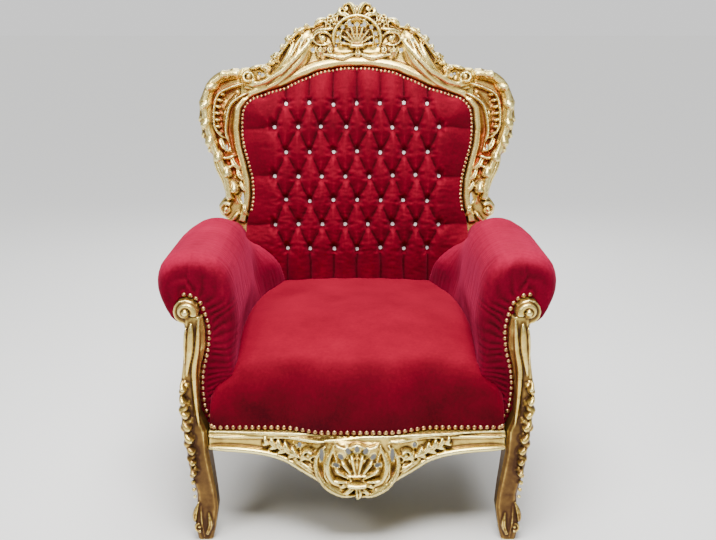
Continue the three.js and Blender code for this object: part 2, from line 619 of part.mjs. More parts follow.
function armPad(tools) {
  const swells = [0.78, 0.91, 0.98];
  const stations = [armFront, armFront + 8, armFront + 28, -200, -80, 20, 100, 170, 290];
  const rings = stations.map((y, i) => {
    const swell = swells[i] ?? 1;
    return armSection(y).map(([x, z]) => {
      const k = z > 430 ? swell : lerp(1, swell, clamp((z - railTop) / 170, 0, 1));
      const tucked = i < swells.length ? 16 * clamp((430 - z) / 90, 0, 1) : 0; // behind the seat's corner
      return new THREE.Vector3(350 + (x - 350) * k, y + tucked, z > 300 ? 520 + (z - 520) * k : z);
    });
  });
  return withoutSlivers(cut(loft(rings), tools));
}

function outsideArm() {
  const [front, rear] = [sideFront + clearance, faceY(railTop) - clearance];
  const plan = [front, rear].map((y) => [outsideAt(y) - 1, y]);
  plan.push(...[rear, front].map((y) => [outsideAt(y) - panelThickness + clearance, y]));
  return plate(toVectors(plan), railTop + clearance, panelTop - clearance);
}

function underPanel() {
  const inner = (y) => outsideAt(y) - railThickness - 1;
  const [front, rear] = [postFront + railThickness + 12, faceY(railTop) - clearance];
  const besidePost = postInside - 10;
  const plan = [[besidePost, front], [besidePost, sideFront], [inner(sideFront), sideFront + 1], [inner(rear), rear]];
  return plate(toVectors([...plan, ...flipPoints(plan)]), railBottom + 14, railBottom + 18);
}

// Assembly
const throne = new THREE.Group();
const leaningBack = new THREE.Group();
leaningBack.position.set(0, backY, backPivotZ);
leaningBack.rotation.x = -backTilt;
throne.add(leaningBack);

function place(name, solid, material, parent = throne) {
  const mesh = new THREE.Mesh(geometryOf(solid), material);
  mesh.name = name;
  parent.add(mesh);
}

function placePair(name, solid, material, parent = throne) {
  place(name + "_left", solid, material, parent);
  place(name + "_right", flip(solid), material, parent);
}

// What the cloth must clear: the back's cushion, frame, moulding and volutes
const everywhere = toVectors([[-beyond, -beyond], [beyond, -beyond], [beyond, beyond], [-beyond, beyond]]);
const behindPanel = stood(board(everywhere, frameThickness * 0.3, beyond));
const cushionTool = stood(backCushion(4 * clearance, false));
const cushionEnd = cushionOutline.at(-1);
const armTools = [
  postCutter(),
  seatCushion(clearance),
  cushionTool,
  stood(board(everywhere, -clearance, beyond)),
  stood(moulding([...cushionOutline.slice(9), [cushionEnd[0] + 3, cushionEnd[1] - 15]], 5, 3 * clearance)),
  stood(boss(354, 190, 28, 27, { sides: 8 })),
];

place("crest_rail", crestRail(), gilt, leaningBack);
placePair("rear_stile", rearStile(), gilt, leaningBack);
place("back_cushion", backCushion(0, true), velvet, leaningBack);
place("back_panel", backPanel(), velvet, leaningBack);
placePair("front_post", frontPost(), gilt);
place("front_rail", frontRail(), gilt);
placePair("side_rail", sideRail(), gilt);
place("rear_rail", rearRail(), gilt);
place("seat_cushion", seatCushion(0, [behindPanel, cushionTool]), velvet);
placePair("arm", armPad(armTools), velvet);
placePair("outside_arm", outsideArm(), velvet);
place("under_panel", underPanel(), underCloth);

// The origin: under the middle of the throne's box
const span = new THREE.Box3().setFromObject(throne, true);
throne.position.y = -(span.min.y + span.max.y) / 2;

export default throne;
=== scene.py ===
import math
import random

import bmesh
import bpy
import numpy as np
from mathutils import Matrix, Vector, noise
from mathutils.bvhtree import BVHTree


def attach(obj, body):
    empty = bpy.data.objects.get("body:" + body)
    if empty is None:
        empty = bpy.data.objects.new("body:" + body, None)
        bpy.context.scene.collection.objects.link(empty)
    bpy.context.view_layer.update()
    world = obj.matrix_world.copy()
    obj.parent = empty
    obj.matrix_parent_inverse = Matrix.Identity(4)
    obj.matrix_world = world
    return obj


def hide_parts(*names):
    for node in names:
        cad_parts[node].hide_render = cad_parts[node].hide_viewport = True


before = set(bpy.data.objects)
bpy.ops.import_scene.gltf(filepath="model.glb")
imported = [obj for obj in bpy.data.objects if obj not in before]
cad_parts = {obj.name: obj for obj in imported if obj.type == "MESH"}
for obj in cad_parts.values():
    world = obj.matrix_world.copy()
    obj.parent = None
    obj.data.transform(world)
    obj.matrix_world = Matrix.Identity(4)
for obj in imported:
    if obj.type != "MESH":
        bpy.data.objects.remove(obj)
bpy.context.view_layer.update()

scene = bpy.context.scene
random.seed(11)

# The drawing is in millimetres on the floor; the leaning drawing of the back has its own height along the back
drawing = {"ahead": 0.0145434, "backPivot": (0, 235, 450), "leanAngle": 9.7}
stand = Matrix.Translation((0, drawing["ahead"], 0)) @ Matrix.Scale(0.001, 4)
lean = stand @ Matrix.Translation(drawing["backPivot"]) @ Matrix.Rotation(-math.radians(drawing["leanAngle"]), 4, "X")
mirrorX = Matrix.Scale(-1, 4, (1, 0, 0))


def lerp(a, b, t):
    return a + (b - a) * t


def ease(x, low, high):  # 0 below low, 1 above high, smooth between
    t = np.clip((x - low) / (high - low), 0, 1)
    return t * t * (3 - 2 * t)


# Materials
def newMaterial(name, **values):
    material = bpy.data.materials.new(name)
    material.use_nodes = True
    shader = material.node_tree.nodes["Principled BSDF"]
    for key, value in values.items():
        shader.inputs[key].default_value = value
    return material, shader


def addNode(material, kind, values=None, **props):
    node = material.node_tree.nodes.new(kind)
    for key, value in props.items():
        setattr(node, key, value)
    for key, value in (values or {}).items():
        node.inputs[key].default_value = value
    return node


def noiseOn(material, scale, detail=3.0, rough=0.55, stretch=(1, 1, 1)):
    where = addNode(material, "ShaderNodeTexCoord")
    mapping = addNode(material, "ShaderNodeMapping", {"Scale": stretch})
    cloud = addNode(material, "ShaderNodeTexNoise", {"Scale": scale, "Detail": detail, "Roughness": rough})
    material.node_tree.links.new(where.outputs["Object"], mapping.inputs["Vector"])
    material.node_tree.links.new(mapping.outputs["Vector"], cloud.inputs["Vector"])
    return cloud.outputs["Fac"]


def rampOn(material, source, stops):
    ramp = addNode(material, "ShaderNodeValToRGB")
    while len(ramp.color_ramp.elements) < len(stops):
        ramp.color_ramp.elements.new(0.5)
    for element, (place, colour) in zip(ramp.color_ramp.elements, stops):
        element.position = place
        element.color = (*colour, 1)
    material.node_tree.links.new(source, ramp.inputs["Fac"])
    return ramp.outputs["Color"]


def rangeOn(material, source, low, high, toLow, toHigh):
    limits = {"From Min": low, "From Max": high, "To Min": toLow, "To Max": toHigh}
    node = addNode(material, "ShaderNodeMapRange", limits)
    material.node_tree.links.new(source, node.inputs["Value"])
    return node.outputs["Result"]


def varied(material, cloud, least, most):  # noise lies mostly between 0.3 and 0.7
    return rangeOn(material, cloud, 0.3, 0.7, least, most)


def layerOn(material, name):  # a value painted on the piece's points
    return addNode(material, "ShaderNodeAttribute", attribute_name=name).outputs["Fac"]


def addUp(material, a, b, kind="ADD"):
    node = addNode(material, "ShaderNodeMath", operation=kind)
    for socket, value in zip(node.inputs, (a, b)):
        if isinstance(value, (int, float)):
            socket.default_value = value
        else:
            material.node_tree.links.new(value, socket)
    return node.outputs[0]


def colourOver(material, factor, under, colour):
    node = addNode(material, "ShaderNodeMix", data_type="RGBA")
    material.node_tree.links.new(factor, node.inputs[0])
    material.node_tree.links.new(under, node.inputs[6])
    node.inputs[7].default_value = (*colour, 1)
    return node.outputs[2]


def bumpOn(material, shader, height, strength, distance):
    node = addNode(material, "ShaderNodeBump", {"Strength": strength, "Distance": distance})
    material.node_tree.links.new(height, node.inputs["Height"])
    material.node_tree.links.new(node.outputs["Normal"], shader.inputs["Normal"])


giltLook = {
    "pale": (1.0, 0.89, 0.38), "mid": (0.76, 0.55, 0.13), "deep": (0.22, 0.12, 0.028), "deepShade": (0.06, 0.025, 0.010),
    "bole": (0.27, 0.035, 0.006),  # red clay that shows in the shoulders' channels
    "patch": 30, "grain": 300,
    "paintedShade": 0.42,  # painted shade: how much darker the gilding is on the legs, the plain rails and in the seam by the velvet
}


def makeGilt(look=giltLook):
    material, shader = newMaterial("gilded_wood", Metallic=0.82)
    links = material.node_tree.links
    patches = noiseOn(material, look["patch"], 5, 0.6)
    grain = noiseOn(material, look["grain"], 4, 0.65)
    # painted shade in the hollows, down to deep and deepShade, and a painted highlight on ridges, which turn pale;
    # random patches vary the tone
    shadeAndTone = addUp(material, layerOn(material, "hollow"), varied(material, patches, -0.09, 0.09))
    # painted shade on the legs, the plain rails and in the seam makes the gilding darker
    shadeAndTone = addUp(material, shadeAndTone, rangeOn(material, layerOn(material, "paintedShade"), 0, 1, 0, look["paintedShade"]))
    colour = rampOn(material, rangeOn(material, shadeAndTone, -1, 1, 0, 1), [
        (0.34, look["pale"]), (0.50, look["mid"]), (0.61, look["deep"]), (0.75, look["deepShade"]),
    ])
    patchy = varied(material, patches, 0.55, 1.15)
    bare = addUp(material, layerOn(material, "bole"), patchy, "MULTIPLY")
    mixed = colourOver(material, rangeOn(material, bare, 0, 1, 0, 0.85), colour, look["bole"])
    links.new(mixed, shader.inputs["Base Color"])
    fine = varied(material, grain, -0.04, 0.08)
    links.new(addUp(material, rangeOn(material, shadeAndTone, 0.0, 0.8, 0.22, 0.6), fine), shader.inputs["Roughness"])
    bumpOn(material, shader, addUp(material, grain, addUp(material, patches, 2.0, "MULTIPLY")), 0.14, 0.0004)
    return material


velvetLook = {
    "deep": (0.034, 0.0003, 0.0022), "napAndTopLight": (0.115, 0.0006, 0.007), "lit": (0.30, 0.002, 0.022),
    "sheen": (1.0, 0.05, 0.14), "sheenWeight": 0.3,
    "topLightTone": (-0.2, 0.32),  # painted light from above: darker upright, paler where it faces up
}


def makeVelvet(name, look=velvetLook, turn=(1, 1, 1)):
    material, shader = newMaterial(name, Roughness=0.78, **{
        "Sheen Weight": look["sheenWeight"], "Sheen Roughness": 0.5, "Sheen Tint": (*look["sheen"], 1),
        "Specular IOR Level": 0.05,
    })
    brushed = noiseOn(material, 9, 4, 0.6, turn)
    pile = noiseOn(material, 900, 2, 0.7)
    tufts = noiseOn(material, 160, 3, 0.6)
    tone = rangeOn(material, brushed, 0.25, 0.75, 0.33, 0.67)
    for more in (
        varied(material, tufts, -0.06, 0.06),
        # painted shade in the creases and wells, and a painted highlight on ridges
        rangeOn(material, layerOn(material, "hollow"), -1, 1, 0.2, -0.6),
        # painted light from above: paler where the velvet faces up, darker upright
        rangeOn(material, layerOn(material, "napAndTopLight"), 0, 1, *look["topLightTone"]),
    ):
        tone = addUp(material, tone, more)
    colour = rampOn(material, tone, [(0.0, look["deep"]), (0.36, look["napAndTopLight"]), (1.0, look["lit"])])
    material.node_tree.links.new(colour, shader.inputs["Base Color"])
    bumpOn(material, shader, addUp(material, pile, tufts), 0.22, 0.0006)
    return material


gilt = makeGilt()
velvet = makeVelvet("velvet")
# painted light: a paler, pinker copy of the same velvet for the arms and their outer panels, for the light on the arm
# tops
litArmVelvet = makeVelvet("arm_velvet_lit", {
    **velvetLook, "napAndTopLight": (0.14, 0.0008, 0.011), "lit": (0.44, 0.007, 0.054),
    "sheen": (1.0, 0.06, 0.2), "sheenWeight": 0.24, "topLightTone": (-0.1, 0.34),
}, (1, 0.6, 1))

brass, brassShader = newMaterial("brass_nail", Metallic=1.0, Roughness=0.3)
tarnish = rampOn(brass, noiseOn(brass, 210, 2), [(0.3, (0.20, 0.09, 0.03)), (0.62, (0.66, 0.42, 0.20))])
brass.node_tree.links.new(tarnish, brassShader.inputs["Base Color"])
brass.node_tree.links.new(varied(brass, noiseOn(brass, 900), 0.2, 0.42), brassShader.inputs["Roughness"])

crystal, crystalShader = newMaterial("crystal", Roughness=0.12, IOR=1.62, **{
    "Coat Weight": 0.6, "Specular IOR Level": 0.9,
})
shimmer = rampOn(crystal, noiseOn(crystal, 300, 1), [(0.35, (0.98, 0.82, 0.84)), (0.6, (1.0, 0.97, 0.97))])
crystal.node_tree.links.new(shimmer, crystalShader.inputs["Base Color"])

underCloth, underShader = newMaterial("under_cloth", Roughness=0.95)
wave = {"Scale": 420.0, "Distortion": 0.6}
threads = [addNode(underCloth, "ShaderNodeTexWave", wave, bands_direction=way) for way in ("X", "Y")]
for thread in threads:
    underCloth.node_tree.links.new(addNode(underCloth, "ShaderNodeTexCoord").outputs["Object"], thread.inputs["Vector"])
weave = addUp(underCloth, threads[0].outputs["Fac"], threads[1].outputs["Fac"])
shade = rangeOn(underCloth, weave, 0, 2, 0, 1)
woven = rampOn(underCloth, shade, [(0, (0.012, 0.011, 0.011)), (1, (0.05, 0.045, 0.045))])
underCloth.node_tree.links.new(woven, underShader.inputs["Base Color"])
bumpOn(underCloth, underShader, weave, 0.4, 0.0004)
print("materials ready")


# Making and finishing pieces
def meshOf(bm, name):
    shape = bpy.data.meshes.new(name)
    bm.to_mesh(shape)
    bm.free()
    return shape


def pourInto(into, shape):
    into.from_mesh(shape)
    bpy.data.meshes.remove(shape)


def dress(piece, material):
    piece.data.materials.clear()
    piece.data.materials.append(material)


def pieceFrom(name, bm, material=None):
    piece = bpy.data.objects.new(name, meshOf(bm, name))
    scene.collection.objects.link(piece)
    if material:
        dress(piece, material)
    return piece


def solidCopy(node):  # merged copy of a solid's shape, in metres
    bm = bmesh.new()
    bm.from_mesh(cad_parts[node].data)
    bmesh.ops.remove_doubles(bm, verts=bm.verts, dist=1e-6)
    return bm


def settle(piece):  # the modifiers' result becomes the piece's own mesh
    shape = bpy.data.meshes.new_from_object(piece.evaluated_get(bpy.context.evaluated_depsgraph_get()))
    piece.modifiers.clear()
    old, piece.data = piece.data, shape
    bpy.data.meshes.remove(old)
    return piece


def combine(piece, tool, operation="DIFFERENCE"):
    cutter = pieceFrom("cutter", tool)
    joiner = piece.modifiers.new("cut", "BOOLEAN")
    joiner.operation, joiner.solver, joiner.object = operation, "MANIFOLD", cutter
    settle(piece)
    bpy.data.objects.remove(cutter)
    return piece


def remesh(piece, voxel):
    cells = piece.modifiers.new("cells", "REMESH")
    cells.mode, cells.voxel_size, cells.adaptivity = "VOXEL", voxel, 0
    return settle(piece)


def addSmooth(piece, rounds, group=""):
    smooth = piece.modifiers.new("soften", "SMOOTH")
    smooth.factor, smooth.iterations, smooth.vertex_group = 0.5, rounds, group


def soften(piece, rounds, group=""):
    addSmooth(piece, rounds, group)
    return settle(piece)


def coordsOf(shape, key="co"):
    flat = np.empty(len(shape.vertices) * 3, dtype=np.float32)
    if key == "co":
        shape.vertices.foreach_get("co", flat)
    else:
        shape.vertex_normals.foreach_get("vector", flat)
    return flat.reshape(-1, 3)


def moveTo(piece, coords):
    piece.data.vertices.foreach_set("co", coords.astype(np.float32).ravel())
    piece.data.update()


def markLayer(piece, name, values):
    layer = piece.data.attributes.new(name, "FLOAT", "POINT")
    layer.data.foreach_set("value", values.astype(np.float32))


def markHollows(piece, rounds=16, depth=0.0016):  # how far each point lies below its surroundings; the materials darken hollows with it as painted shade
    before, normals = coordsOf(piece.data), coordsOf(piece.data, "normal")
    addSmooth(piece, rounds)
    eased = piece.evaluated_get(bpy.context.evaluated_depsgraph_get())
    after = coordsOf(eased.data)
    piece.modifiers.clear()
    markLayer(piece, "hollow", np.clip(((after - before) * normals).sum(axis=1) / depth, -1, 1))


def paintTopLight(piece, least=0.0, most=1.0):  # painted light from above: the velvet looks paler where it faces up
    markLayer(piece, "napAndTopLight", lerp(least, most, ease(coordsOf(piece.data, "normal")[:, 2], 0, 1)))


def finishPiece(piece, nodes=(), smooth=True, sharp=None):
    if smooth:
        piece.data.shade_smooth()
    if sharp:
        piece.data.set_sharp_from_angle(angle=math.radians(sharp))
    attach(piece, "root")
    if nodes:
        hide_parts(*nodes)
    print(f"  {piece.name}: {len(piece.data.polygons)} faces")
    return piece


def wrapGrid(columns, rows, place):  # a grid rolled into a closed skin through place(u, v), in mm
    bm = bmesh.new()
    made = bmesh.ops.create_grid(bm, x_segments=columns, y_segments=rows, size=0.5)["verts"]
    u = np.round((np.array([v.co.x for v in made]) + 0.5) * columns) / columns
    v = np.round((np.array([v.co.y for v in made]) + 0.5) * rows) / rows
    for vert, spot in zip(made, place(u, v)):
        vert.co = spot
    bmesh.ops.remove_doubles(bm, verts=bm.verts, dist=1e-4)
    bmesh.ops.holes_fill(bm, edges=[e for e in bm.edges if e.is_boundary])
    bmesh.ops.recalc_face_normals(bm, faces=bm.faces)
    return bm


def splitCaps(skin):  # the skin's many-sided ends become triangles
    bmesh.ops.triangulate(skin, faces=[f for f in skin.faces if len(f.verts) > 4])
    bmesh.ops.recalc_face_normals(skin, faces=skin.faces)


def boardFrom(outline, front, back):  # a board with a drawn outline in the XZ plane
    bm = bmesh.new()
    rim = [bm.verts.new((x, front, z)) for x, z in outline]
    face = bm.faces.new(rim)
    grown = bmesh.ops.extrude_face_region(bm, geom=[face])["geom"]
    bmesh.ops.translate(bm, vec=(0, back - front, 0), verts=[g for g in grown if isinstance(g, bmesh.types.BMVert)])
    bmesh.ops.triangulate(bm, faces=bm.faces)
    bmesh.ops.recalc_face_normals(bm, faces=bm.faces)
    return bm


def bothHalves(half):
    return [(-x, z) for x, z in reversed(half)] + [(x, z) for x, z in half if x]


# Carving strokes
def smoothLine(points, count):  # even samples of a smooth curve through the points
    p = [Vector(q) for q in points]
    p = [p[0] * 2 - p[1], *p, p[-1] * 2 - p[-2]]
    fine = []
    for a, b, c, d in zip(p, p[1:], p[2:], p[3:]):
        for i in range(12):
            t = i / 12
            bent = 2 * b + (c - a) * t + (2 * a - 5 * b + 4 * c - d) * t * t
            fine.append(0.5 * (bent + (3 * b - a - 3 * c + d) * t ** 3))
    fine.append(p[-2])
    lengths = np.cumsum([0] + [(b - a).length for a, b in zip(fine, fine[1:])])
    spots = np.linspace(0, lengths[-1], count + 1)
    return [Vector([np.interp(s, lengths, [f[k] for f in fine]) for k in (0, 1)]) for s in spots]


sections = {  # height across the stroke, from one edge (-1) to the other (1)
    "round": lambda t: (1 - t * t) ** 0.5,
    "sharp": lambda t: (1 - abs(t)) ** 0.8,
    "fluted": lambda t: (1 - t ** 4) * (0.62 + 0.38 * abs(math.cos(1.5 * math.pi * t))),
    "leaf": lambda t: (1 - abs(t) ** 2.6) * (0.50 + 0.50 * abs(math.sin(math.pi * t)) ** 0.7),
    "cup": lambda t: 0.35 + 0.65 * abs(t) ** 1.4 if abs(t) < 0.9 else 0.5,
}
swellings = {
    "leaf": lambda t: 0.24 + 0.76 * math.sin(math.pi * t ** 0.7),
    "bud": lambda t: 0.12 + 0.88 * math.sin(math.pi * min(1, t * 0.62 + 0.2)) * (1 - t ** 6),
    "husk": lambda t: (0.3 + 0.7 * math.sin(math.pi / 2 * min(1, t * 1.5))) * (1.001 - t ** 8) ** 0.5,
    "drop": lambda t: 1 - 0.72 * t,
    "tail": lambda t: (0.3 + 0.7 * min(1, t * 6)) * (1 - 0.75 * t),
    "rib": lambda t: (0.36 + 0.64 * t) * (1 - 0.5 * t ** 9),
    "even": lambda t: 0.35 + 0.65 * (1 - (2 * t - 1) ** 10),
}


def stroke(into, points, wide, high, steps=8, section="round", swelling="leaf", face=0, curl=0.0):
    line = smoothLine(points, steps)
    bm = bmesh.new()
    across = np.linspace(-1, 1, 11)
    ring = bmesh.ops.create_circle(bm, cap_ends=True, segments=13, radius=1)["verts"]
    rim = [(t / 2, sections[section](t)) for t in across] + [(0.5, -0.35), (-0.5, -0.35)]
    for vert, (a, h) in zip(ring, rim):
        vert.co = (a, h, 0)
    last = Matrix.Identity(4)
    top = bm.faces[:][0]
    for i, spot in enumerate(line):
        t = i / steps
        ahead = (line[min(i + 1, steps)] - line[max(i - 1, 0)]).normalized()
        swell = swellings[swelling](t)
        lift = curl * high * t * t
        station = Matrix((
            (-ahead.y * wide * swell, 0, ahead.x, spot.x),
            (0, -high * swell, 0, face - lift),
            (ahead.x * wide * swell, 0, ahead.y, spot.y),
            (0, 0, 0, 1),
        ))
        if i:
            grown = bmesh.ops.extrude_face_region(bm, geom=[top])["geom"]
            top = next(g for g in grown if isinstance(g, bmesh.types.BMFace))
        bmesh.ops.transform(bm, matrix=station @ last.inverted(), verts=top.verts)
        last = station
    bmesh.ops.recalc_face_normals(bm, faces=bm.faces)
    pourInto(into, meshOf(bm, "stroke"))


def band(into, points, wide, high, steps, face=0):
    stroke(into, points, wide, high, steps, "round", "even", face)


def leaf(into, root, tip, wide, high, face=0, bend=0.12, curl=0.3, section="leaf", swelling="bud"):
    root, tip = Vector(root), Vector(tip)
    way = tip - root
    middle = root + way * 0.5 + Vector((-way.y, way.x)) * bend
    stroke(into, [root, middle, tip], wide, high, 6, section, swelling, face, curl)


def leafRow(into, stem, count, reach, angle, wide=0.6, high=16, face=0, shortest=0.6, curl=0.3, **shaped):
    line = smoothLine(stem, 24)
    for i in range(count):
        at = (i + 0.5) / count * 24
        k = min(int(at), 23)
        root = line[k].lerp(line[k + 1], at - k)
        ahead = (line[k + 1] - line[k]).normalized()
        c, s = math.cos(angle), math.sin(angle)
        turned = Vector((ahead.x * c - ahead.y * s, ahead.x * s + ahead.y * c))
        size = reach * lerp(shortest, 1, math.sin(math.pi * (i + 0.5) / count))
        bend = -0.14 if angle > 0 else 0.14
        leaf(into, root - turned * size * 0.15, root + turned * size, size * wide, high, face, bend, curl, **shaped)


def pearl(into, x, z, radius, face=0, high=1.0):
    bm = bmesh.new()
    place = Matrix.Translation((x, face - radius * (high - 0.75), z))
    bmesh.ops.create_icosphere(bm, subdivisions=2, radius=radius, matrix=place)
    pourInto(into, meshOf(bm, "pearl"))


def volute(into, x, z, radius, start=0, hand=1, turns=1.35, wide=11, high=20, face=0):
    points = []
    for i in range(13):
        angle = start + hand * i / 12 * turns * 2 * math.pi
        r = lerp(radius - wide / 2, wide * 0.3, i / 12)
        points.append((x + r * math.cos(angle), z + r * math.sin(angle)))
    stroke(into, points, wide, high, 26, "round", "drop", face)
    pearl(into, x, z, wide * 0.42, face - high * 0.35)


def rose(into, x, z, radius, petals=6, high=15, face=0):
    for count, far, rise, spin in ((petals, 1.0, 0.8, 0), (petals - 1, 0.66, 1.0, 0.5)):
        for i in range(count):
            angle = 0.3 + spin + i / count * 2 * math.pi
            way = Vector((math.cos(angle), math.sin(angle)))
            here = Vector((x, z))
            root, tip = here + way * radius * 0.1, here + way * radius * far
            leaf(into, root, tip, radius * 0.85 * far, high * rise, face, 0, 0.35, "cup")
    pearl(into, x, z, radius * 0.26, face - high * 0.85)


def shell(into, x, z, radius, ribs=9, high=17, face=0, tall=1.0):
    for i in range(ribs):
        angle = lerp(0.04, 0.96, i / (ribs - 1)) * math.pi
        way = Vector((math.cos(angle), math.sin(angle) * tall))
        reach = radius * (1 + 0.08 * math.sin(angle))
        here = Vector((x, z))
        stroke(into, [here + way * radius * 0.12, here + way * reach], radius * 0.25, high, 8, "round", "rib", face)
    foot = [(x - radius * 0.5, z), (x, z - 3), (x + radius * 0.5, z)]
    band(into, foot, radius * 0.3, high * 1.1, 8, face)


def arcOf(x, z, radiusX, radiusZ, start, end, count=9):
    angles = [lerp(start, end, i / (count - 1)) * math.pi for i in range(count)]
    return [(x + radiusX * math.cos(a), z + radiusZ * math.sin(a)) for a in angles]


makers = {
    "stroke": stroke, "band": band, "leafRow": leafRow, "leaf": leaf,
    "rose": rose, "volute": volute, "pearl": pearl, "shell": shell,
}


def carve(works, face):
    bm = bmesh.new()
    for kind, *rest in works:
        values = rest.pop() if isinstance(rest[-1], dict) else {}
        makers[kind](bm, *rest, **{"face": face, **values})
    return meshOf(bm, "carving")


def holesThrough(holes, y, slope):  # openings as (x, z, radius, how tall, turn), drilled sloping down to the rear
    bm = bmesh.new()
    for x, z, radius, tall, *turn in holes:
        tube = {"radius1": radius, "radius2": radius, "depth": 160}
        made = bmesh.ops.create_cone(bm, cap_ends=True, segments=12, **tube)["verts"]
        upright = Matrix.Rotation(math.pi / 2, 4, "X")
        slanted = Matrix.Identity(4)
        slanted[2][1] = -math.tan(math.radians(slope))
        spin = Matrix.Rotation(-turn[0] if turn else 0, 4, "Y")
        place = Matrix.Translation((x, y, z)) @ slanted @ spin @ Matrix.Diagonal((1, 1, tall, 1)) @ upright
        bmesh.ops.transform(bm, matrix=place, verts=made)
    return bm


def betweenRibs(x, z, radius, ribs, at, wide, tall, stretch):  # openings between a shell's ribs
    holes = []
    for i in range(ribs - 1):
        angle = lerp(0.04, 0.96, (i + 0.5) / (ribs - 1)) * math.pi
        way = Vector((math.cos(angle), math.sin(angle) * tall))
        turn = math.atan2(way.y, way.x) - math.pi / 2
        holes.append((x + way.x * radius * at, z + way.y * radius * at, wide, stretch, turn))
    return holes


def easedForm(solid, rounds, above, voxel=0.0026):  # the rough form under the carving, softened above a height
    rough = remesh(pieceFrom("rough", solid), voxel)
    group = rough.vertex_groups.new(name="upper")
    heights = coordsOf(rough.data)[:, 2]
    for low, high, weight in ((above, above + 0.03, 0.5), (above + 0.03, 9, 1.0)):
        group.add([int(i) for i in np.nonzero((heights >= low) & (heights < high))[0]], weight, "REPLACE")
    soften(rough, rounds, "upper")
    bm = bmesh.new()
    bm.from_mesh(rough.data)
    bpy.data.objects.remove(rough)
    return bm


def insetFromEdge(x, w):
    p = np.stack([np.abs(x), w], axis=1)
    nearest = np.full(len(p), 1e9)
    for a, b in zip(cushionOutline, cushionOutline[1:]):
        a, span = np.array(a, float), np.subtract(b, a).astype(float)
        t = np.clip(((p - a) @ span) / (span @ span), 0, 1)
        nearest = np.minimum(nearest, np.linalg.norm(p - a - t[:, None] * span, axis=1))
    return nearest


def seamShadeAndRear(x, y, w):  # painted shade in the seam beside the cushion, and thinly darker over the plain rear
    seam = 0.95 * (1 - ease(insetFromEdge(x, w), 4, 12)) * (y < 6) * (w > 150)
    return np.maximum(seam, 0.5 * ease(y, 8, 22))


def carvedPiece(name, node, half, middle, place, settings, bend=None):
    whole = solidCopy(node)
    if "ease" in settings:
        whole = easedForm(whole, *settings["ease"])
    shapes = []
    if half:
        shapes.append(carve(half, settings.get("face", 0)))
        if settings.get("mirrored"):
            other = shapes[0].copy()
            other.transform(mirrorX)
            other.flip_normals()
            shapes.append(other)
    if middle:
        shapes.append(carve(middle, settings.get("face", 0)))
    for shape in shapes:
        if bend:
            coords = coordsOf(shape)
            coords[:, 1] += bend(coords[:, 0])
            shape.vertices.foreach_set("co", coords.ravel())
        shape.transform(place)
        pourInto(whole, shape)
    piece = remesh(pieceFrom(name, whole, gilt), settings["voxel"])
    if "holes" in settings:
        tool = holesThrough(settings["holes"], *settings.get("drill", (0, 0)))
        bmesh.ops.transform(tool, matrix=place, verts=tool.verts)
        combine(piece, tool)
    soften(piece, 3)
    markHollows(piece)
    back = np.array(place.inverted())
    drawn = coordsOf(piece.data) @ back[:3, :3].T + back[:3, 3]
    for layer, paint in settings.get("paint", {}).items():
        markLayer(piece, layer, paint(*drawn.T))
    dress(piece, gilt)
    return finishPiece(piece, [node])


def mirroredPiece(piece, name, node):
    shape = piece.data.copy()
    shape.transform(mirrorX)
    shape.flip_normals()
    other = bpy.data.objects.new(name, shape)
    scene.collection.objects.link(other)
    return finishPiece(other, [node] if node else ())


cushionOutline = [
    (0, 563), (52, 560), (104, 550), (150, 531), (200, 509), (250, 494), (284, 480),
    (304, 454), (309, 403), (304, 360), (292, 315), (282, 268), (280, 225), (285, 190), (296, 150),
]
shoulderOutline = [
    (322, 564), (352, 560), (384, 546), (406, 520), (422, 480), (424, 440),
    (419, 402), (406, 366), (392, 338), (376, 308), (360, 278), (350, 250),
]


def besideEdge(points, gap):  # the cushion's outline moved outwards
    spots = [Vector(p) for p in points]
    moved = []
    for i, spot in enumerate(spots):
        ahead = (spots[min(i + 1, len(spots) - 1)] - spots[max(i - 1, 0)]).normalized()
        moved.append((spot.x - ahead.y * gap, spot.y + ahead.x * gap))
    return moved


# Crest rail: pierced shell under an arch, palmette, roses, eye scrolls and the long acanthus
acanthus = {  # its strands, each from the crest's side down to the shoulder's scroll
    "inner": [(116, 656), (137, 610), (158, 575), (192, 542), (226, 517), (262, 506), (300, 514)],
    "middle": [(138, 654), (156, 620), (174, 584), (202, 550), (232, 526), (272, 516)],
    "outer": [(166, 634), (184, 592), (208, 558), (244, 538)],
    "rim": [(112, 672), (146, 664), (176, 640), (200, 606), (224, 576), (252, 558)],
}
husks = {"section": "round", "swelling": "husk"}  # plump, blunt leaves
crest = {
    "voxel": 0.0019, "mirrored": True, "ease": (22, 0), "paint": {"paintedShade": seamShadeAndRear},
    "holes": [(0, 678, 4.5, 1.4)] + [(s * x, w, r, t) for s in (-1, 1) for x, w, r, t in (
        (20, 680, 4.8, 1.3), (38, 671, 4.8, 1.2), (49, 655, 4.8, 1.1), (52, 636, 4.8, 1),
        (118, 612, 5.5, 1), (148, 636, 4, 1.2), (252, 546, 5, 1),
    )],
}
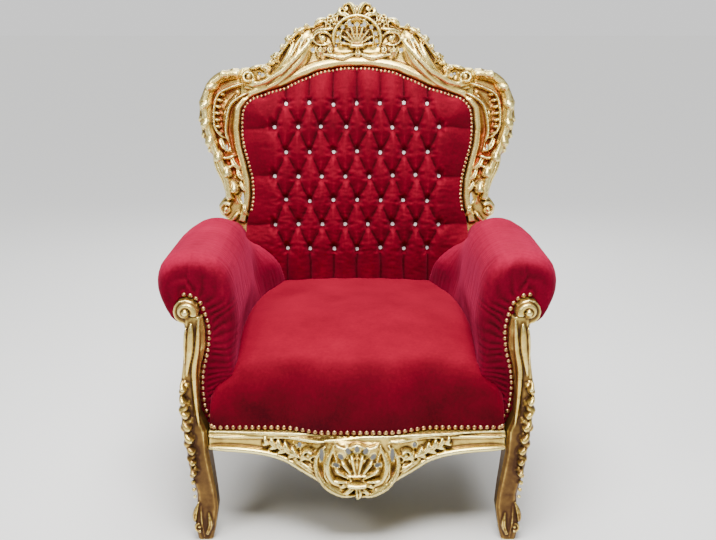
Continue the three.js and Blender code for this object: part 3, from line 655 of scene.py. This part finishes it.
crestHalf = [
    ("stroke", [(3, 690), (5, 712), (18, 731), (33, 729)], 19, 28, 12, "fluted"),
    ("volute", 30, 720, 13, {"start": 1.6, "hand": -1, "wide": 8, "high": 24}),
    ("stroke", [(12, 688), (32, 702), (54, 704)], 20, 22, 8, "leaf", {"curl": 0.3}),
    ("rose", 68, 684, 22, {"high": 20}),
    ("leaf", (82, 690), (114, 674), 20, 18),
    ("leaf", (54, 698), (46, 724), 14, 17),
    ("stroke", arcOf(92, 640, 24, 17, 1.0, -0.75), 11, 20, 18, "round", "tail"),
    ("pearl", 91, 641, 9, {"high": 1.2}),
    ("stroke", [(52, 668), (76, 664), (104, 662), (122, 648)], 12, 18),
    ("stroke", [(4, 602), (40, 590), (84, 598), (104, 592)], 17, 19, 12, "fluted"),
    ("volute", 70, 612, 13, {"start": 4.2, "hand": 1, "wide": 8, "high": 19}),
    ("rose", 98, 606, 13, {"petals": 5}),
    ("stroke", [(128, 664), (148, 614), (174, 572), (206, 541), (244, 522), (290, 512)], 64, 17, 20),
    ("stroke", acanthus["inner"], 27, 20, 22),
    ("stroke", acanthus["middle"], 34, 27, 20, "leaf"),
    ("stroke", acanthus["outer"], 20, 24, 18),
    ("stroke", acanthus["rim"], 13, 19, 18),
    ("leafRow", acanthus["rim"], 7, 20, 0.7, {"high": 20, "wide": 0.95, "shortest": 0.8, **husks}),
    ("rose", 150, 660, 12, {"petals": 5, "high": 17}),
    ("rose", 180, 636, 15, {"petals": 5, "high": 20}),
    ("rose", 218, 590, 15, {"petals": 5, "high": 20}),
    ("rose", 240, 560, 12, {"petals": 5, "high": 18}),
    ("volute", 290, 541, 21, {"start": 4.4, "hand": 1, "high": 25, "wide": 12}),
    ("stroke", [(286, 562), (266, 566), (246, 572)], 13, 17),
]
crestMiddle = [
    ("band", besideEdge(bothHalves(cushionOutline[:7]), 17), 30, 13, 70),
    ("shell", 0, 622, 44, {"ribs": 9, "tall": 1.15, "high": 21}),
    ("band", arcOf(0, 640, 63, 59, -0.1, 1.1, 15), 12, 24, 26),
    ("stroke", [(0, 694), (0, 716), (0, 730)], 12, 22, 8, "sharp"),
    ("leaf", (0, 612), (0, 588), 24, 18),
]
carvedPiece("crestRail", "crest_rail", crestHalf, crestMiddle, lean, crest)

# Rear stile: the shoulder's C scroll with its teeth, a row of lobes and a volute on the arm
lobes = [(x - 17, w - 9) for x, w in shoulderOutline]
shoulder = [(306, 547), (350, 543), (384, 523), (400, 482), (400, 432), (390, 380), (376, 344)]
channelInside = [(288, 499), (318, 483), (336, 467), (345, 444), (349, 418), (350, 392), (342, 364)]
channelEdges = [(340, 509), (369, 492), (379, 463), (381, 433), (379, 407), (366, 386)]


def shoulderBole(x, y, w):  # the floor of the stile's channels
    floor = (1 - ease(-y, 5, 13)) * (y < 4)
    upper = 1 - 0.45 * ease(w, 360, 420)
    return floor * upper * ease(x, 292, 312) * ease(w, 255, 300) * (1 - ease(w, 515, 540)) * (1 - ease(x, 384, 396))


stile = {
    "voxel": 0.0019, "ease": (22, 0.62),
    # painted shade: the rear legs darker towards the floor, and the seam beside the cushion
    "paint": {"bole": shoulderBole, "paintedShade": lambda x, y, w: np.maximum(1 - ease(w, -200, 40), seamShadeAndRear(x, y, w))},
    "holes": [(308, 216, 4, 4), (350, 352, 3.5, 2.4)],
}
stileWork = [
    ("band", besideEdge(cushionOutline[5:], 11), 18, 9, 44),
    ("band", shoulder, 30, 20, 30),
    ("leafRow", lobes, 8, 46, 0.1, {"wide": 0.68, "high": 25, "shortest": 0.85, "curl": 0.4, **husks}),
    ("band", [(296, 524), *channelEdges, (350, 376)], 9, 27, 26),
    ("band", channelInside, 10, 21, 22),
    ("band", [(326, 332), (352, 324), (384, 334)], 11, 17, 10),
    ("band", [(322, 308), (350, 299), (376, 308)], 11, 17, 10),
    ("leaf", (366, 378), (342, 342), 20, 19),
    ("stroke", [(384, 340), (372, 302), (356, 262), (350, 222)], 22, 24, 14, "fluted"),
    ("stroke", [(352, 286), (338, 250), (330, 212)], 15, 20, 10, "leaf"),
    ("leaf", (338, 330), (310, 292), 19, 18),
    ("leaf", (322, 300), (300, 262), 17, 17),
    ("leaf", (314, 262), (292, 232), 15, 16),
    ("leaf", (304, 206), (290, 166), 16, 16),
    ("volute", 352, 188, 25, {"start": 2.4, "hand": -1, "wide": 16, "high": 27, "turns": 1.2}),
    ("stroke", [(318, 182), (334, 160), (350, 156)], 12, 16),
]
for tooth in smoothLine([(358, 497), (367, 476), (371, 448), (371, 420), (366, 394)], 6):
    root, tip = (tooth.x + 9, tooth.y), (tooth.x - 8, tooth.y - 3)
    stileWork.append(("leaf", root, tip, 12, 22, {"section": "round", "curl": 0.2}))
stilePiece = carvedPiece("rearStileLeft", "rear_stile_left", stileWork, None, lean, stile)
mirroredPiece(stilePiece, "rearStileRight", "rear_stile_right")

# Front rail: the bowed apron with its shell between C scrolls
apron = {
    "voxel": 0.0018, "mirrored": True, "ease": (8, 0),
    "holes": betweenRibs(0, 158, 48, 8, 1.0, 5.2, 1.15, 1.5)
    + [(s * x, z, r, t) for s in (-1, 1) for x, z, r, t in ((77, 200, 5, 3.2), (126, 224, 5, 1.2))],
    "drill": (-350, 24),
}
lowerEdge = [(50, 140), (86, 166), (127, 184), (164, 202), (206, 214), (260, 221), (326, 224)]
outerScroll = [(4, 124), (34, 131), (66, 152), (87, 182), (88, 214), (68, 240)]
spray = [(100, 208), (140, 214), (200, 240)]
apronHalf = [
    ("band", lowerEdge, 16, 14, 28),
    ("band", [(326, 250), (200, 250), (70, 249)], 9, 10, 16),
    ("stroke", outerScroll, 17, 25, 22, "fluted"),
    ("stroke", [(30, 146), (56, 166), (64, 200), (50, 240)], 16, 21, 16),
    ("volute", 107, 216, 17, {"start": 2.4, "hand": -1, "wide": 9, "high": 21}),
    ("stroke", [(90, 176), (116, 192), (152, 204)], 17, 18, 8, "leaf"),
    ("stroke", spray, 9, 17, 12),
    ("leafRow", spray, 6, 30, 0.7, {"high": 18, "wide": 0.56}),
    ("leafRow", spray, 5, 26, -0.7, {"high": 17, "wide": 0.56}),
    ("leaf", (4, 146), (30, 124), 15, 20),
    ("leaf", (10, 152), (44, 142), 14, 18),
]
apronMiddle = [
    ("shell", 0, 156, 54, {"ribs": 8, "high": 25, "tall": 1.15}),
    ("leaf", (0, 152), (0, 116), 22, 23),
    ("band", [(-50, 247), (-26, 239), (0, 246), (26, 239), (50, 247)], 9, 19, 18),
    ("leaf", (0, 232), (0, 250), 12, 20),
]


def bowAt(x):
    return 30 * (ease(np.abs(x), 66, 168) - 1)


carvedPiece("frontRail", "front_rail", apronHalf, apronMiddle, stand, apron, lambda x: bowAt(x) - 362)

# Front post: cabriole leg, arm support and the scroll at its top
# painted shade: the post is darker towards the floor
post = {"voxel": 0.0018, "face": -368, "paint": {"paintedShade": lambda x, y, z: 1 - 0.6 * ease(z, 150, 420)}}
fall = [(368, 392), (371, 340), (366, 280), (359, 226), (354, 168)]
postWork = [
    ("volute", 363, 533, 28, {"start": 3.5, "hand": -1, "wide": 18, "high": 12, "turns": 1.1}),
    ("stroke", [(336, 514), (338, 480), (341, 450), (349, 400), (348, 330), (342, 262)], 13, 9, 18),
    ("stroke", [(352, 508), (356, 450), (366, 392)], 17, 11, 12),
    ("stroke", [(364, 500), (367, 460), (369, 420)], 7, 8, 10),
    ("leafRow", fall, 6, 36, 0.5, {"high": 17, "wide": 0.6, "curl": 0.2, **husks}),
    ("leafRow", [(x + 6, z) for x, z in fall], 8, 30, -0.45, {"high": 22, "wide": 0.7, "curl": 0.2, **husks}),
    ("volute", 352, 34, 15, {"start": 4.4, "hand": 1, "wide": 9, "high": 10, "turns": 1.1, "face": -364}),
    ("stroke", [(362, 44), (360, 66), (352, 92)], 13, 11, 8, "leaf", {"face": -364}),
    ("leaf", (336, 14), (330, 66), 13, 9, {"face": -364}),
]
postWork += [("pearl", 363 - 1.5 * i, 160 - 17 * i, 6 - 0.5 * i, {"high": 1.2}) for i in range(4)]
postPiece = carvedPiece("frontPostLeft", "front_post_left", postWork, None, stand, post)
mirroredPiece(postPiece, "frontPostRight", "front_post_right")

# Plain rails at the sides and the rear
# painted shade: the plain rails are evenly darker
plainRail = {"voxel": 0.0026, "paint": {"paintedShade": lambda x, y, z: np.full(len(x), 0.5)}}
sidePiece = carvedPiece("sideRailLeft", "side_rail_left", None, None, stand, plainRail)
mirroredPiece(sidePiece, "sideRailRight", "side_rail_right")
carvedPiece("rearRail", "rear_rail", None, None, stand, plainRail)
print("carving ready")

# Upholstery
tufting = {
    "pitchX": 62.5, "pitchW": 64, "topRow": 468, "rows": 7, "long": 8,
    "thick": 61, "edge": 9, "sink": 34, "crease": 12, "fold": 4.4, "foldWidth": 6.2, "well": 12, "stray": 5.5,
    "foot": -42, "half": 328, "behind": 7.8, "columns": 262, "lines": 250, "fill": 0.85,
}


def waver(x, w, size, seed):  # a soft random drift
    return np.array([noise.noise(Vector((a / size, b / size, seed))) for a, b in zip(x, w)])


def buttonSpots(tuft=tufting):
    spots = []
    for row in range(tuft["rows"]):
        count = tuft["long"] - (row + 1) % 2
        spots += [((i - (count - 1) / 2) * tuft["pitchX"], tuft["topRow"] - row * tuft["pitchW"]) for i in range(count)]
    return np.array(spots)


def straySpots(x, w, tuft=tufting):
    return x + tuft["stray"] * waver(x, w, 70, 3.1), w + tuft["stray"] * waver(x, w, 70, 8.7)


def offLine(value):  # distance to the nearest whole number
    return np.abs(value - np.round(value))


def tuftedFront(x, w, tuft=tufting):  # distance in front of the frame's face
    swell = np.sqrt(ease(insetFromEdge(x, w), -24, 85)) * lerp(0.55, 1, ease(w, -40, 120))
    sx, sw = straySpots(x, w)
    across, down = sx / tuft["pitchX"], (tuft["topRow"] - sw) / (2 * tuft["pitchW"])
    slant = 1 / math.hypot(1 / tuft["pitchX"], 0.5 / tuft["pitchW"])
    diagonal = np.minimum(offLine(across + down), offLine(across - down)) * slant
    beside = (across - np.round(across)) * np.where(across > 0, 1, -1) * tuft["pitchX"]
    upright = np.where(beside > 0, beside * 0.45, -beside * 1.8)
    level = offLine(down - 0.5) * 2 * tuft["pitchW"]
    outside = np.maximum(ease(-down, 0, 0.14), ease(down - (tuft["rows"] - 1) / 2, 0, 0.14))
    aside = ease(np.abs(across), 3.3, 3.6)
    line = lerp(lerp(diagonal, level, aside), upright, outside)
    puff = lerp(lerp(diagonal / slant, np.minimum(level / 100, 0.5), aside), offLine(across), outside) * 2
    spots = buttonSpots()
    gaps = np.hypot((sx[:, None] - spots[:, 0]) * 1.1, (sw[:, None] - spots[:, 1]) * 0.92)
    which, near = gaps.argmin(axis=1), gaps.min(axis=1)
    fold = tuft["fold"] * np.exp(-((line / tuft["foldWidth"]) ** 1.3))
    fold = fold * np.maximum(lerp(0.35, 1.0, np.exp(-near / 24)), 1.0 * outside)
    crease = tuft["crease"] * (1 + 0.7 * outside) * (1 - np.clip(puff, 0, 1)) ** 2 + fold
    well = tuft["sink"] * np.exp(-((near / tuft["well"]) ** 1.6))
    around = np.arctan2(sw - spots[which, 1], sx - spots[which, 0])
    gathers = 1.5 * np.cos(7 * around + which * 2.1) * np.exp(-(((near - 17) / 8) ** 2))
    creased = waver(x, w * 2.6, 24, 4.4) * lerp(2.6, 1.2, ease(w, 150, 420))
    wrinkle = 0.9 * waver(x, w, 13, 5.5) + gathers - np.abs(creased)
    sunk = swell ** 0.5 * np.maximum(crease, well + 0.5 * crease)
    return lerp(tuft["edge"], tuft["thick"], swell) - sunk + swell * wrinkle


def makeBack(tuft=tufting):
    rows = tuft["lines"]
    top = tuft["topRow"] + 2 * tuft["pitchW"]

    def place(u, v):
        x = lerp(-tuft["half"], tuft["half"], u)
        inner = np.clip((v * rows - 1) / (rows - 3), 0, 1)
        inner[v > 1 - 0.5 / rows] = 0
        w = lerp(top, tuft["foot"], inner)
        y = -tuftedFront(x, w)
        y[(v < 0.5 / rows) | (v > 1 - 1.5 / rows)] = tuft["behind"]
        return np.stack([x, y, w], axis=1)

    skin = wrapGrid(tuft["columns"], rows, place)
    rim = [(x - 0.6 if x > 60 else x, w - 0.6) for x, w in cushionOutline]
    cutter = boardFrom(bothHalves([*rim, (295.4, tuft["foot"] + 1)]), -150, 60)
    for bm in (skin, cutter):
        bmesh.ops.transform(bm, matrix=lean, verts=bm.verts)
    splitCaps(skin)
    piece = pieceFrom("backCushion", skin, velvet)
    combine(piece, cutter, "INTERSECT")
    markHollows(piece, 24, 0.0035)
    paintTopLight(piece, 0.3, 0.8)
    dress(piece, velvet)
    finishPiece(piece, ["back_cushion"], sharp=60)
    return piece


backPiece = makeBack()


def behindFrame(y):  # everything behind a plane of the leaning back
    bm = bmesh.new()
    place = lean @ Matrix.Translation((0, y + 500, 300)) @ Matrix.Diagonal((1200, 1000, 1600, 1))
    bmesh.ops.create_cube(bm, size=1, matrix=place)
    return bm


seat = {
    "brow": 410, "crown": 462, "half": 322, "front": -360, "low": 262.6, "shoulder": 334, "depth": 640,
    "rear": 7.2, "columns": 80, "lines": 100, "voxel": 0.004, "soften": 5, "fill": 0.95,
    "cutBy": ("arm_left", "arm_right", "front_post_left", "front_post_right", "back_cushion",
              "rear_stile_left", "rear_stile_right"),
}


def seatTop(x, depth, look=seat):
    crown = lerp(look["brow"], look["crown"], np.sin(math.pi / 2 * np.clip(depth / 300, 0, 1)))
    brow = np.sqrt(np.clip(1 - (1 - np.minimum(1, depth / 58)) ** 2.2, 0, 1))
    shoulder = np.sqrt(np.clip(1 - (np.abs(x) / look["shoulder"]) ** 8, 0, 1))
    low = look["low"] + 16
    return lerp(low, lerp(low, crown, shoulder) - 12 * (x / 270) ** 2, brow)


def makeSeat(look=seat):
    def place(u, v):
        x = look["half"] * np.sin((u - 0.5) * math.pi)
        t = np.clip((v - 0.05) / 0.75, 0, 1)
        back = np.clip((v - 0.85) / 0.15, 0, 1)
        depth = look["depth"] * t ** 2.2
        z = seatTop(x, depth)
        z = np.where(v < 0.05, lerp(look["low"], z, v / 0.05), z)
        z = np.where(v > 0.8, lerp(z, look["low"], np.clip((v - 0.8) / 0.05, 0, 1)), z)
        return np.stack([x, look["front"] + bowAt(x) + depth * (1 - back), z], axis=1)

    skin = wrapGrid(look["columns"], look["lines"], place)
    splitCaps(skin)
    bmesh.ops.transform(skin, matrix=stand, verts=skin.verts)
    piece = pieceFrom("seatCushion", skin, velvet)
    combine(piece, behindFrame(look["rear"]))
    for node in look["cutBy"]:
        combine(piece, solidCopy(node))
    remesh(piece, look["voxel"])
    soften(piece, look["soften"])
    paintTopLight(piece)
    dress(piece, velvet)
    return piece


seatPiece = makeSeat()
finishPiece(seatPiece, ["seat_cushion"])

armInside = [(-420, 264), (-330, 264), (-120, 270), (0, 260), (100, 234), (160, 206), (230, 170), (300, 150)]
arm = {
    "top": 655, "front": -346, "rear": 290, "low": 262.5, "stations": 64, "round": 60, "middle": (350, 520),
    "behind": -1, "voxel": 0.0031, "soften": 6, "fill": 0.9,
    "cutBy": ("front_post_left", "seat_cushion", "back_cushion", "rear_stile_left", "side_rail_left",
              "outside_arm_left"),
}
pleats = {"pitch": 15.0, "deep": 3.0, "reach": 62.0, "slack": 1.5, "ahead": 14.54, "samples": 480}
nailPath = [
    (318, 272), (324, 282), (334, 300), (338, 336), (338, 371), (333, 401), (325, 430), (319, 462), (318, 495),
    (324, 520), (333, 546), (350, 562), (368, 566),
]


def armSection(y, look=arm):  # the arm's outline at y, from the foot of its inner face over the roll
    def along(start, end):
        return float(ease(np.array(y), start, end))

    back, corner, low = along(-60, 200), along(50, 205), look["low"]
    inner = float(np.interp(y, *zip(*armInside))) + 0.5
    wall = lerp(374, 345, max(0, (y + 305) / 508)) - 8
    outer = lerp(431, 386, along(-60, 260))
    bulge, top = lerp(258, 268, back), look["top"] - 46 * along(30, 255)
    return [
        (inner, low), (inner, 340), (inner, 425),
        (lerp(bulge - 2, 204, corner), 500), (lerp(bulge + 2, 243, corner), 542),
        (lerp(bulge + 14, 286, corner), top - 53), (bulge + 44, top - 14),
        (lerp(344, 346, back), top), (lerp(392, 370, back), top - 7), (lerp(422, 380, back), top - 31),
        (outer, top - 72), (outer - 9, top - 110), (lerp(402, 380, back), 508 - 6 * back),
        (wall, 480), (wall, 370), (wall, low),
    ]


def makeArm(look=arm):
    midX, midZ = look["middle"]

    def ring(y):
        corners = armSection(y)
        foot = [Vector((lerp(corners[-1][0], corners[0][0], i / 6), look["low"])) for i in range(1, 7)]
        return smoothLine(corners, look["round"] - 6) + foot

    def place(u, v):
        spots = np.empty((len(u), 3))
        for t in np.unique(u):
            depth = (look["rear"] - look["front"]) * t ** 1.6
            y = look["front"] + depth
            swell = 0.74 + 0.26 * (1 - (1 - min(1, depth / 56)) ** 2.3) ** 0.5
            line = ring(y)
            for i in np.nonzero(u == t)[0]:
                p = line[int(round(v[i] * look["round"]))]
                k = swell if p.y > 430 else lerp(1, swell, min(max((p.y - 262) / 170, 0), 1))
                tucked = 16 * min(max((430 - p.y) / 90, 0), 1) * max(1 - depth / 90, 0)
                spots[i] = (midX + (p.x - midX) * k, y + tucked, midZ + (p.y - midZ) * k if p.y > 300 else p.y)
        return spots

    skin = wrapGrid(look["stations"], look["round"], place)
    splitCaps(skin)
    bmesh.ops.transform(skin, matrix=stand, verts=skin.verts)
    piece = pieceFrom("armLeft", skin, litArmVelvet)
    combine(piece, behindFrame(look["behind"]))
    for node in look["cutBy"]:
        combine(piece, solidCopy(node))
    remesh(piece, look["voxel"])
    soften(piece, look["soften"])
    gather(piece)
    markHollows(piece, 10, 0.002)
    paintTopLight(piece)
    dress(piece, litArmVelvet)
    return piece


def gather(piece, look=pleats):  # pleats that run out from the nails, and slack creases across the roll
    coords, normals = coordsOf(piece.data) * 1000, coordsOf(piece.data, "normal")
    coords[:, 1] -= look["ahead"]
    path = np.array([tuple(p) for p in smoothLine(nailPath, look["samples"])])
    flat = coords[:, [0, 2]]
    pick = np.nonzero(coords[:, 1] < -250)[0]
    lengths = np.concatenate([[0], np.cumsum(np.linalg.norm(np.diff(path, axis=0), axis=1))])
    gaps = np.linalg.norm(flat[pick, None, :] - path[None, :, :], axis=2)
    near = gaps.argmin(axis=1)
    along, away = lengths[near], gaps.min(axis=1)
    drift = 9 * waver(flat[pick, 0], flat[pick, 1], 45, 2.2) - 0.35 * away
    fold = 0.5 + 0.5 * np.cos(2 * math.pi * (along + drift) / look["pitch"])
    fade = np.exp(-((away / look["reach"]) ** 1.6)) * ease(away, 2, 16) * (1 - ease(coords[pick, 1], -322, -255))
    slack = np.abs(waver(coords[:, 1] * 3.2 + coords[:, 0] * 0.5, coords[:, 2] * 0.6, 40, 6.6))
    slack = look["slack"] * 0.001 * slack * ease(coords[:, 2], 330, 470) * ease(coords[:, 1], -352, -300)
    moved = coordsOf(piece.data) - normals * slack[:, None]
    moved[pick] -= normals[pick] * (look["deep"] * 0.001 * fade * (1 - fold ** 0.7))[:, None]
    moveTo(piece, moved)


armPiece = makeArm()
finishPiece(armPiece, ["arm_left"])
otherArm = mirroredPiece(armPiece, "armRight", "arm_right")

panels = {  # voxel and rounds of softening
    "backPanel": (0.004, 3), "outsideArmLeft": (0.003, 2), "underPanel": (0.004, 2),
}


def softPanel(name, node, material):
    voxel, rounds = panels[name]
    piece = soften(remesh(pieceFrom(name, solidCopy(node), material), voxel), rounds)
    dress(piece, material)
    return finishPiece(piece, [node])


backPanel = softPanel("backPanel", "back_panel", velvet)
sidePanel = softPanel("outsideArmLeft", "outside_arm_left", litArmVelvet)
mirroredPiece(sidePanel, "outsideArmRight", "outside_arm_right")
softPanel("underPanel", "under_panel", underCloth)
print("upholstery ready")

# Nails and buttons
nail = {"pitch": 13.8, "radius": 5.4, "rise": 4.2}
smallNail = {"pitch": 10.6, "radius": 4.7, "rise": 3.8}


def treeOf(piece):
    bm = bmesh.new()
    bm.from_mesh(piece.data)
    tree = BVHTree.FromBMesh(bm)
    bm.free()
    return tree


def nailsAlong(name, path, place, way, trees, look=nail):  # way: 1 seen from the front, -1 from the rear
    whole = bmesh.new()
    length = sum((Vector(b) - Vector(a)).length for a, b in zip(path, path[1:]))
    along = (place.to_3x3() @ Vector((0, way, 0))).normalized()
    for spot in smoothLine(path, round(length / look["pitch"])):
        start = place @ Vector((spot.x, -600 * way, spot.y))
        hits = [hit for hit in (tree.ray_cast(start, along, 0.8) for tree in trees) if hit[0] is not None]
        if not hits:
            continue
        under, normal = min(hits, key=lambda hit: hit[3])[:2]
        facing = (normal - along * 1.2).normalized()
        turn = facing.to_track_quat("Z", "Y").to_matrix().to_4x4()
        size = random.uniform(0.93, 1.07)
        flat = Matrix.Diagonal((size, size, look["rise"] / look["radius"], 1))
        shape = Matrix.Translation(under - facing * 0.0006) @ turn @ flat @ Matrix.Scale(0.001, 4)
        bmesh.ops.create_uvsphere(whole, u_segments=8, v_segments=5, radius=look["radius"], matrix=shape)
    return finishPiece(pieceFrom(name, whole, brass))


def insideEdge(points, gap):  # the cushion's outline moved in
    return [(max(x - gap, 0) if x > 60 else x, w - gap) for x, w in points]


backTree, armTree, seatTree, panelTree = [treeOf(piece) for piece in (backPiece, armPiece, seatPiece, backPanel)]
nailsAlong("backNails", bothHalves(insideEdge(cushionOutline[:-1], 4)), lean, 1, [backTree], smallNail)
armNails = nailsAlong("armNailsLeft", nailPath, stand, 1, [armTree, seatTree])
mirroredPiece(armNails, "armNailsRight", None)
nailsAlong("seatNails", [(x, 269) for x in (-312, -200, 0, 200, 312)], stand, 1, [seatTree])
rearFoot = [(289, 60), (289, -60), (289, -176)]
nailsAlong("rearNails", bothHalves(insideEdge(cushionOutline, 7) + rearFoot), lean, -1, [panelTree])

button = {  # the stone, the rim under it and how far they may tilt
    "stone": {"segments": 10, "radius1": 6.8, "radius2": 4.6, "depth": 4.4},
    "rim": {"segments": 16, "radius1": 8.6, "radius2": 7.2, "depth": 7}, "rimBelow": 3.2, "ahead": 7.5, "tilt": 7,
}


def makeButtons(look=button):
    whole, rims = bmesh.new(), bmesh.new()
    spots = buttonSpots()
    strayX, strayW = straySpots(spots[:, 0], spots[:, 1])
    x, w = 2 * spots[:, 0] - strayX, 2 * spots[:, 1] - strayW
    for bx, bw, front in zip(x, w, tuftedFront(x, w)):
        angle = math.radians(random.uniform(-look["tilt"], look["tilt"]))
        tilt = Matrix.Rotation(angle, 4, "X") @ Matrix.Rotation(math.radians(90), 4, "X")
        place = lean @ Matrix.Translation((bx, -front - look["ahead"], bw)) @ tilt
        bmesh.ops.create_cone(whole, cap_ends=True, matrix=place, **look["stone"])
        below = place @ Matrix.Translation((0, 0, -look["rimBelow"]))
        bmesh.ops.create_cone(rims, cap_ends=True, matrix=below, **look["rim"])
    finishPiece(pieceFrom("buttonStones", whole, crystal), smooth=False)
    finishPiece(pieceFrom("buttonRims", rims, velvet))


makeButtons()
print("nails and buttons ready")

# Studio: camera, lamps and floor
studio = {
    "camera": (0, -2.3855, 1.14), "pitch": 14.2, "lens": 50.43, "shift": 0.0014,
    "lamps": [  # place, aim, size, power, colour, spread in degrees
        ((0, -1.25, 2.25), (0, 0.15, 0.85), 0.9, 28, (1.0, 0.99, 0.97), 105),
        ((-1.7, -2.0, 2.4), (0, 0, 0.6), 0.7, 26, (1.0, 0.98, 0.95), 180),
        ((0.3, -3.3, 1.5), (0, 0, 0.8), 2.4, 6, (1.0, 0.99, 0.97), 180),
        ((0.1, -0.5, 2.9), (0, 0, 0.5), 1.0, 30, (1.0, 1.0, 1.0), 180),
        ((0, 2.6, 2.2), (0, 0, 0.7), 1.6, 40, (1.0, 1.0, 1.0), 180),
    ],
    "daylight": (3.1, 60, (4, 0, -12)),  # strength, softness and turn in degrees
    "seen": 1.02, "ambient": 0.16, "shine": 0.34,  # the surroundings' light as seen, on surfaces and in reflections
    "floor": {"half": 60, "drop": 0.0005, "colour": (0.92, 0.92, 0.91, 1)},
}
camera = bpy.data.objects.new("camera", bpy.data.cameras.new("camera"))
camera.location = studio["camera"]
camera.rotation_euler = (math.radians(90 - studio["pitch"]), 0, 0)
camera.data.lens, camera.data.sensor_width, camera.data.shift_x = studio["lens"], 36, studio["shift"]
scene.collection.objects.link(camera)
scene.camera = camera
for place, aim, size, power, colour, spread in studio["lamps"]:
    lamp = bpy.data.objects.new("lamp", bpy.data.lights.new("lamp", "AREA"))
    lamp.location = place
    lamp.rotation_euler = (Vector(aim) - Vector(place)).to_track_quat("-Z", "Y").to_euler()
    lamp.data.size, lamp.data.energy, lamp.data.color, lamp.data.spread = size, power, colour, math.radians(spread)
    scene.collection.objects.link(lamp)
strength, softness, turn = studio["daylight"]
daylight = bpy.data.objects.new("daylight", bpy.data.lights.new("daylight", "SUN"))
daylight.data.energy, daylight.data.angle = strength, math.radians(softness)
daylight.rotation_euler = [math.radians(a) for a in turn]
scene.collection.objects.link(daylight)
world = bpy.data.worlds.new("studio")
world.use_nodes = True
tree = world.node_tree
seen = tree.nodes["Background"]
seen.inputs["Color"].default_value, seen.inputs["Strength"].default_value = (1, 1, 1, 1), studio["seen"]
around = tree.nodes.new("ShaderNodeBackground")
direct, either = tree.nodes.new("ShaderNodeLightPath"), tree.nodes.new("ShaderNodeMixShader")
glow = rangeOn(world, direct.outputs["Is Glossy Ray"], 0, 1, studio["ambient"], studio["shine"])
tree.links.new(glow, around.inputs["Strength"])
tree.links.new(direct.outputs["Is Camera Ray"], either.inputs[0])
tree.links.new(around.outputs[0], either.inputs[1])
tree.links.new(seen.outputs[0], either.inputs[2])
tree.links.new(either.outputs[0], tree.nodes["World Output"].inputs["Surface"])
scene.world = world
ground = bmesh.new()
bmesh.ops.create_grid(ground, x_segments=2, y_segments=2, size=studio["floor"]["half"])
floorLook, floorShader = newMaterial("floor", Roughness=0.9)
floorShader.inputs["Base Color"].default_value = studio["floor"]["colour"]
floor = pieceFrom("floor", ground, floorLook)
floor.location.z = -studio["floor"]["drop"]

print("scene ready")
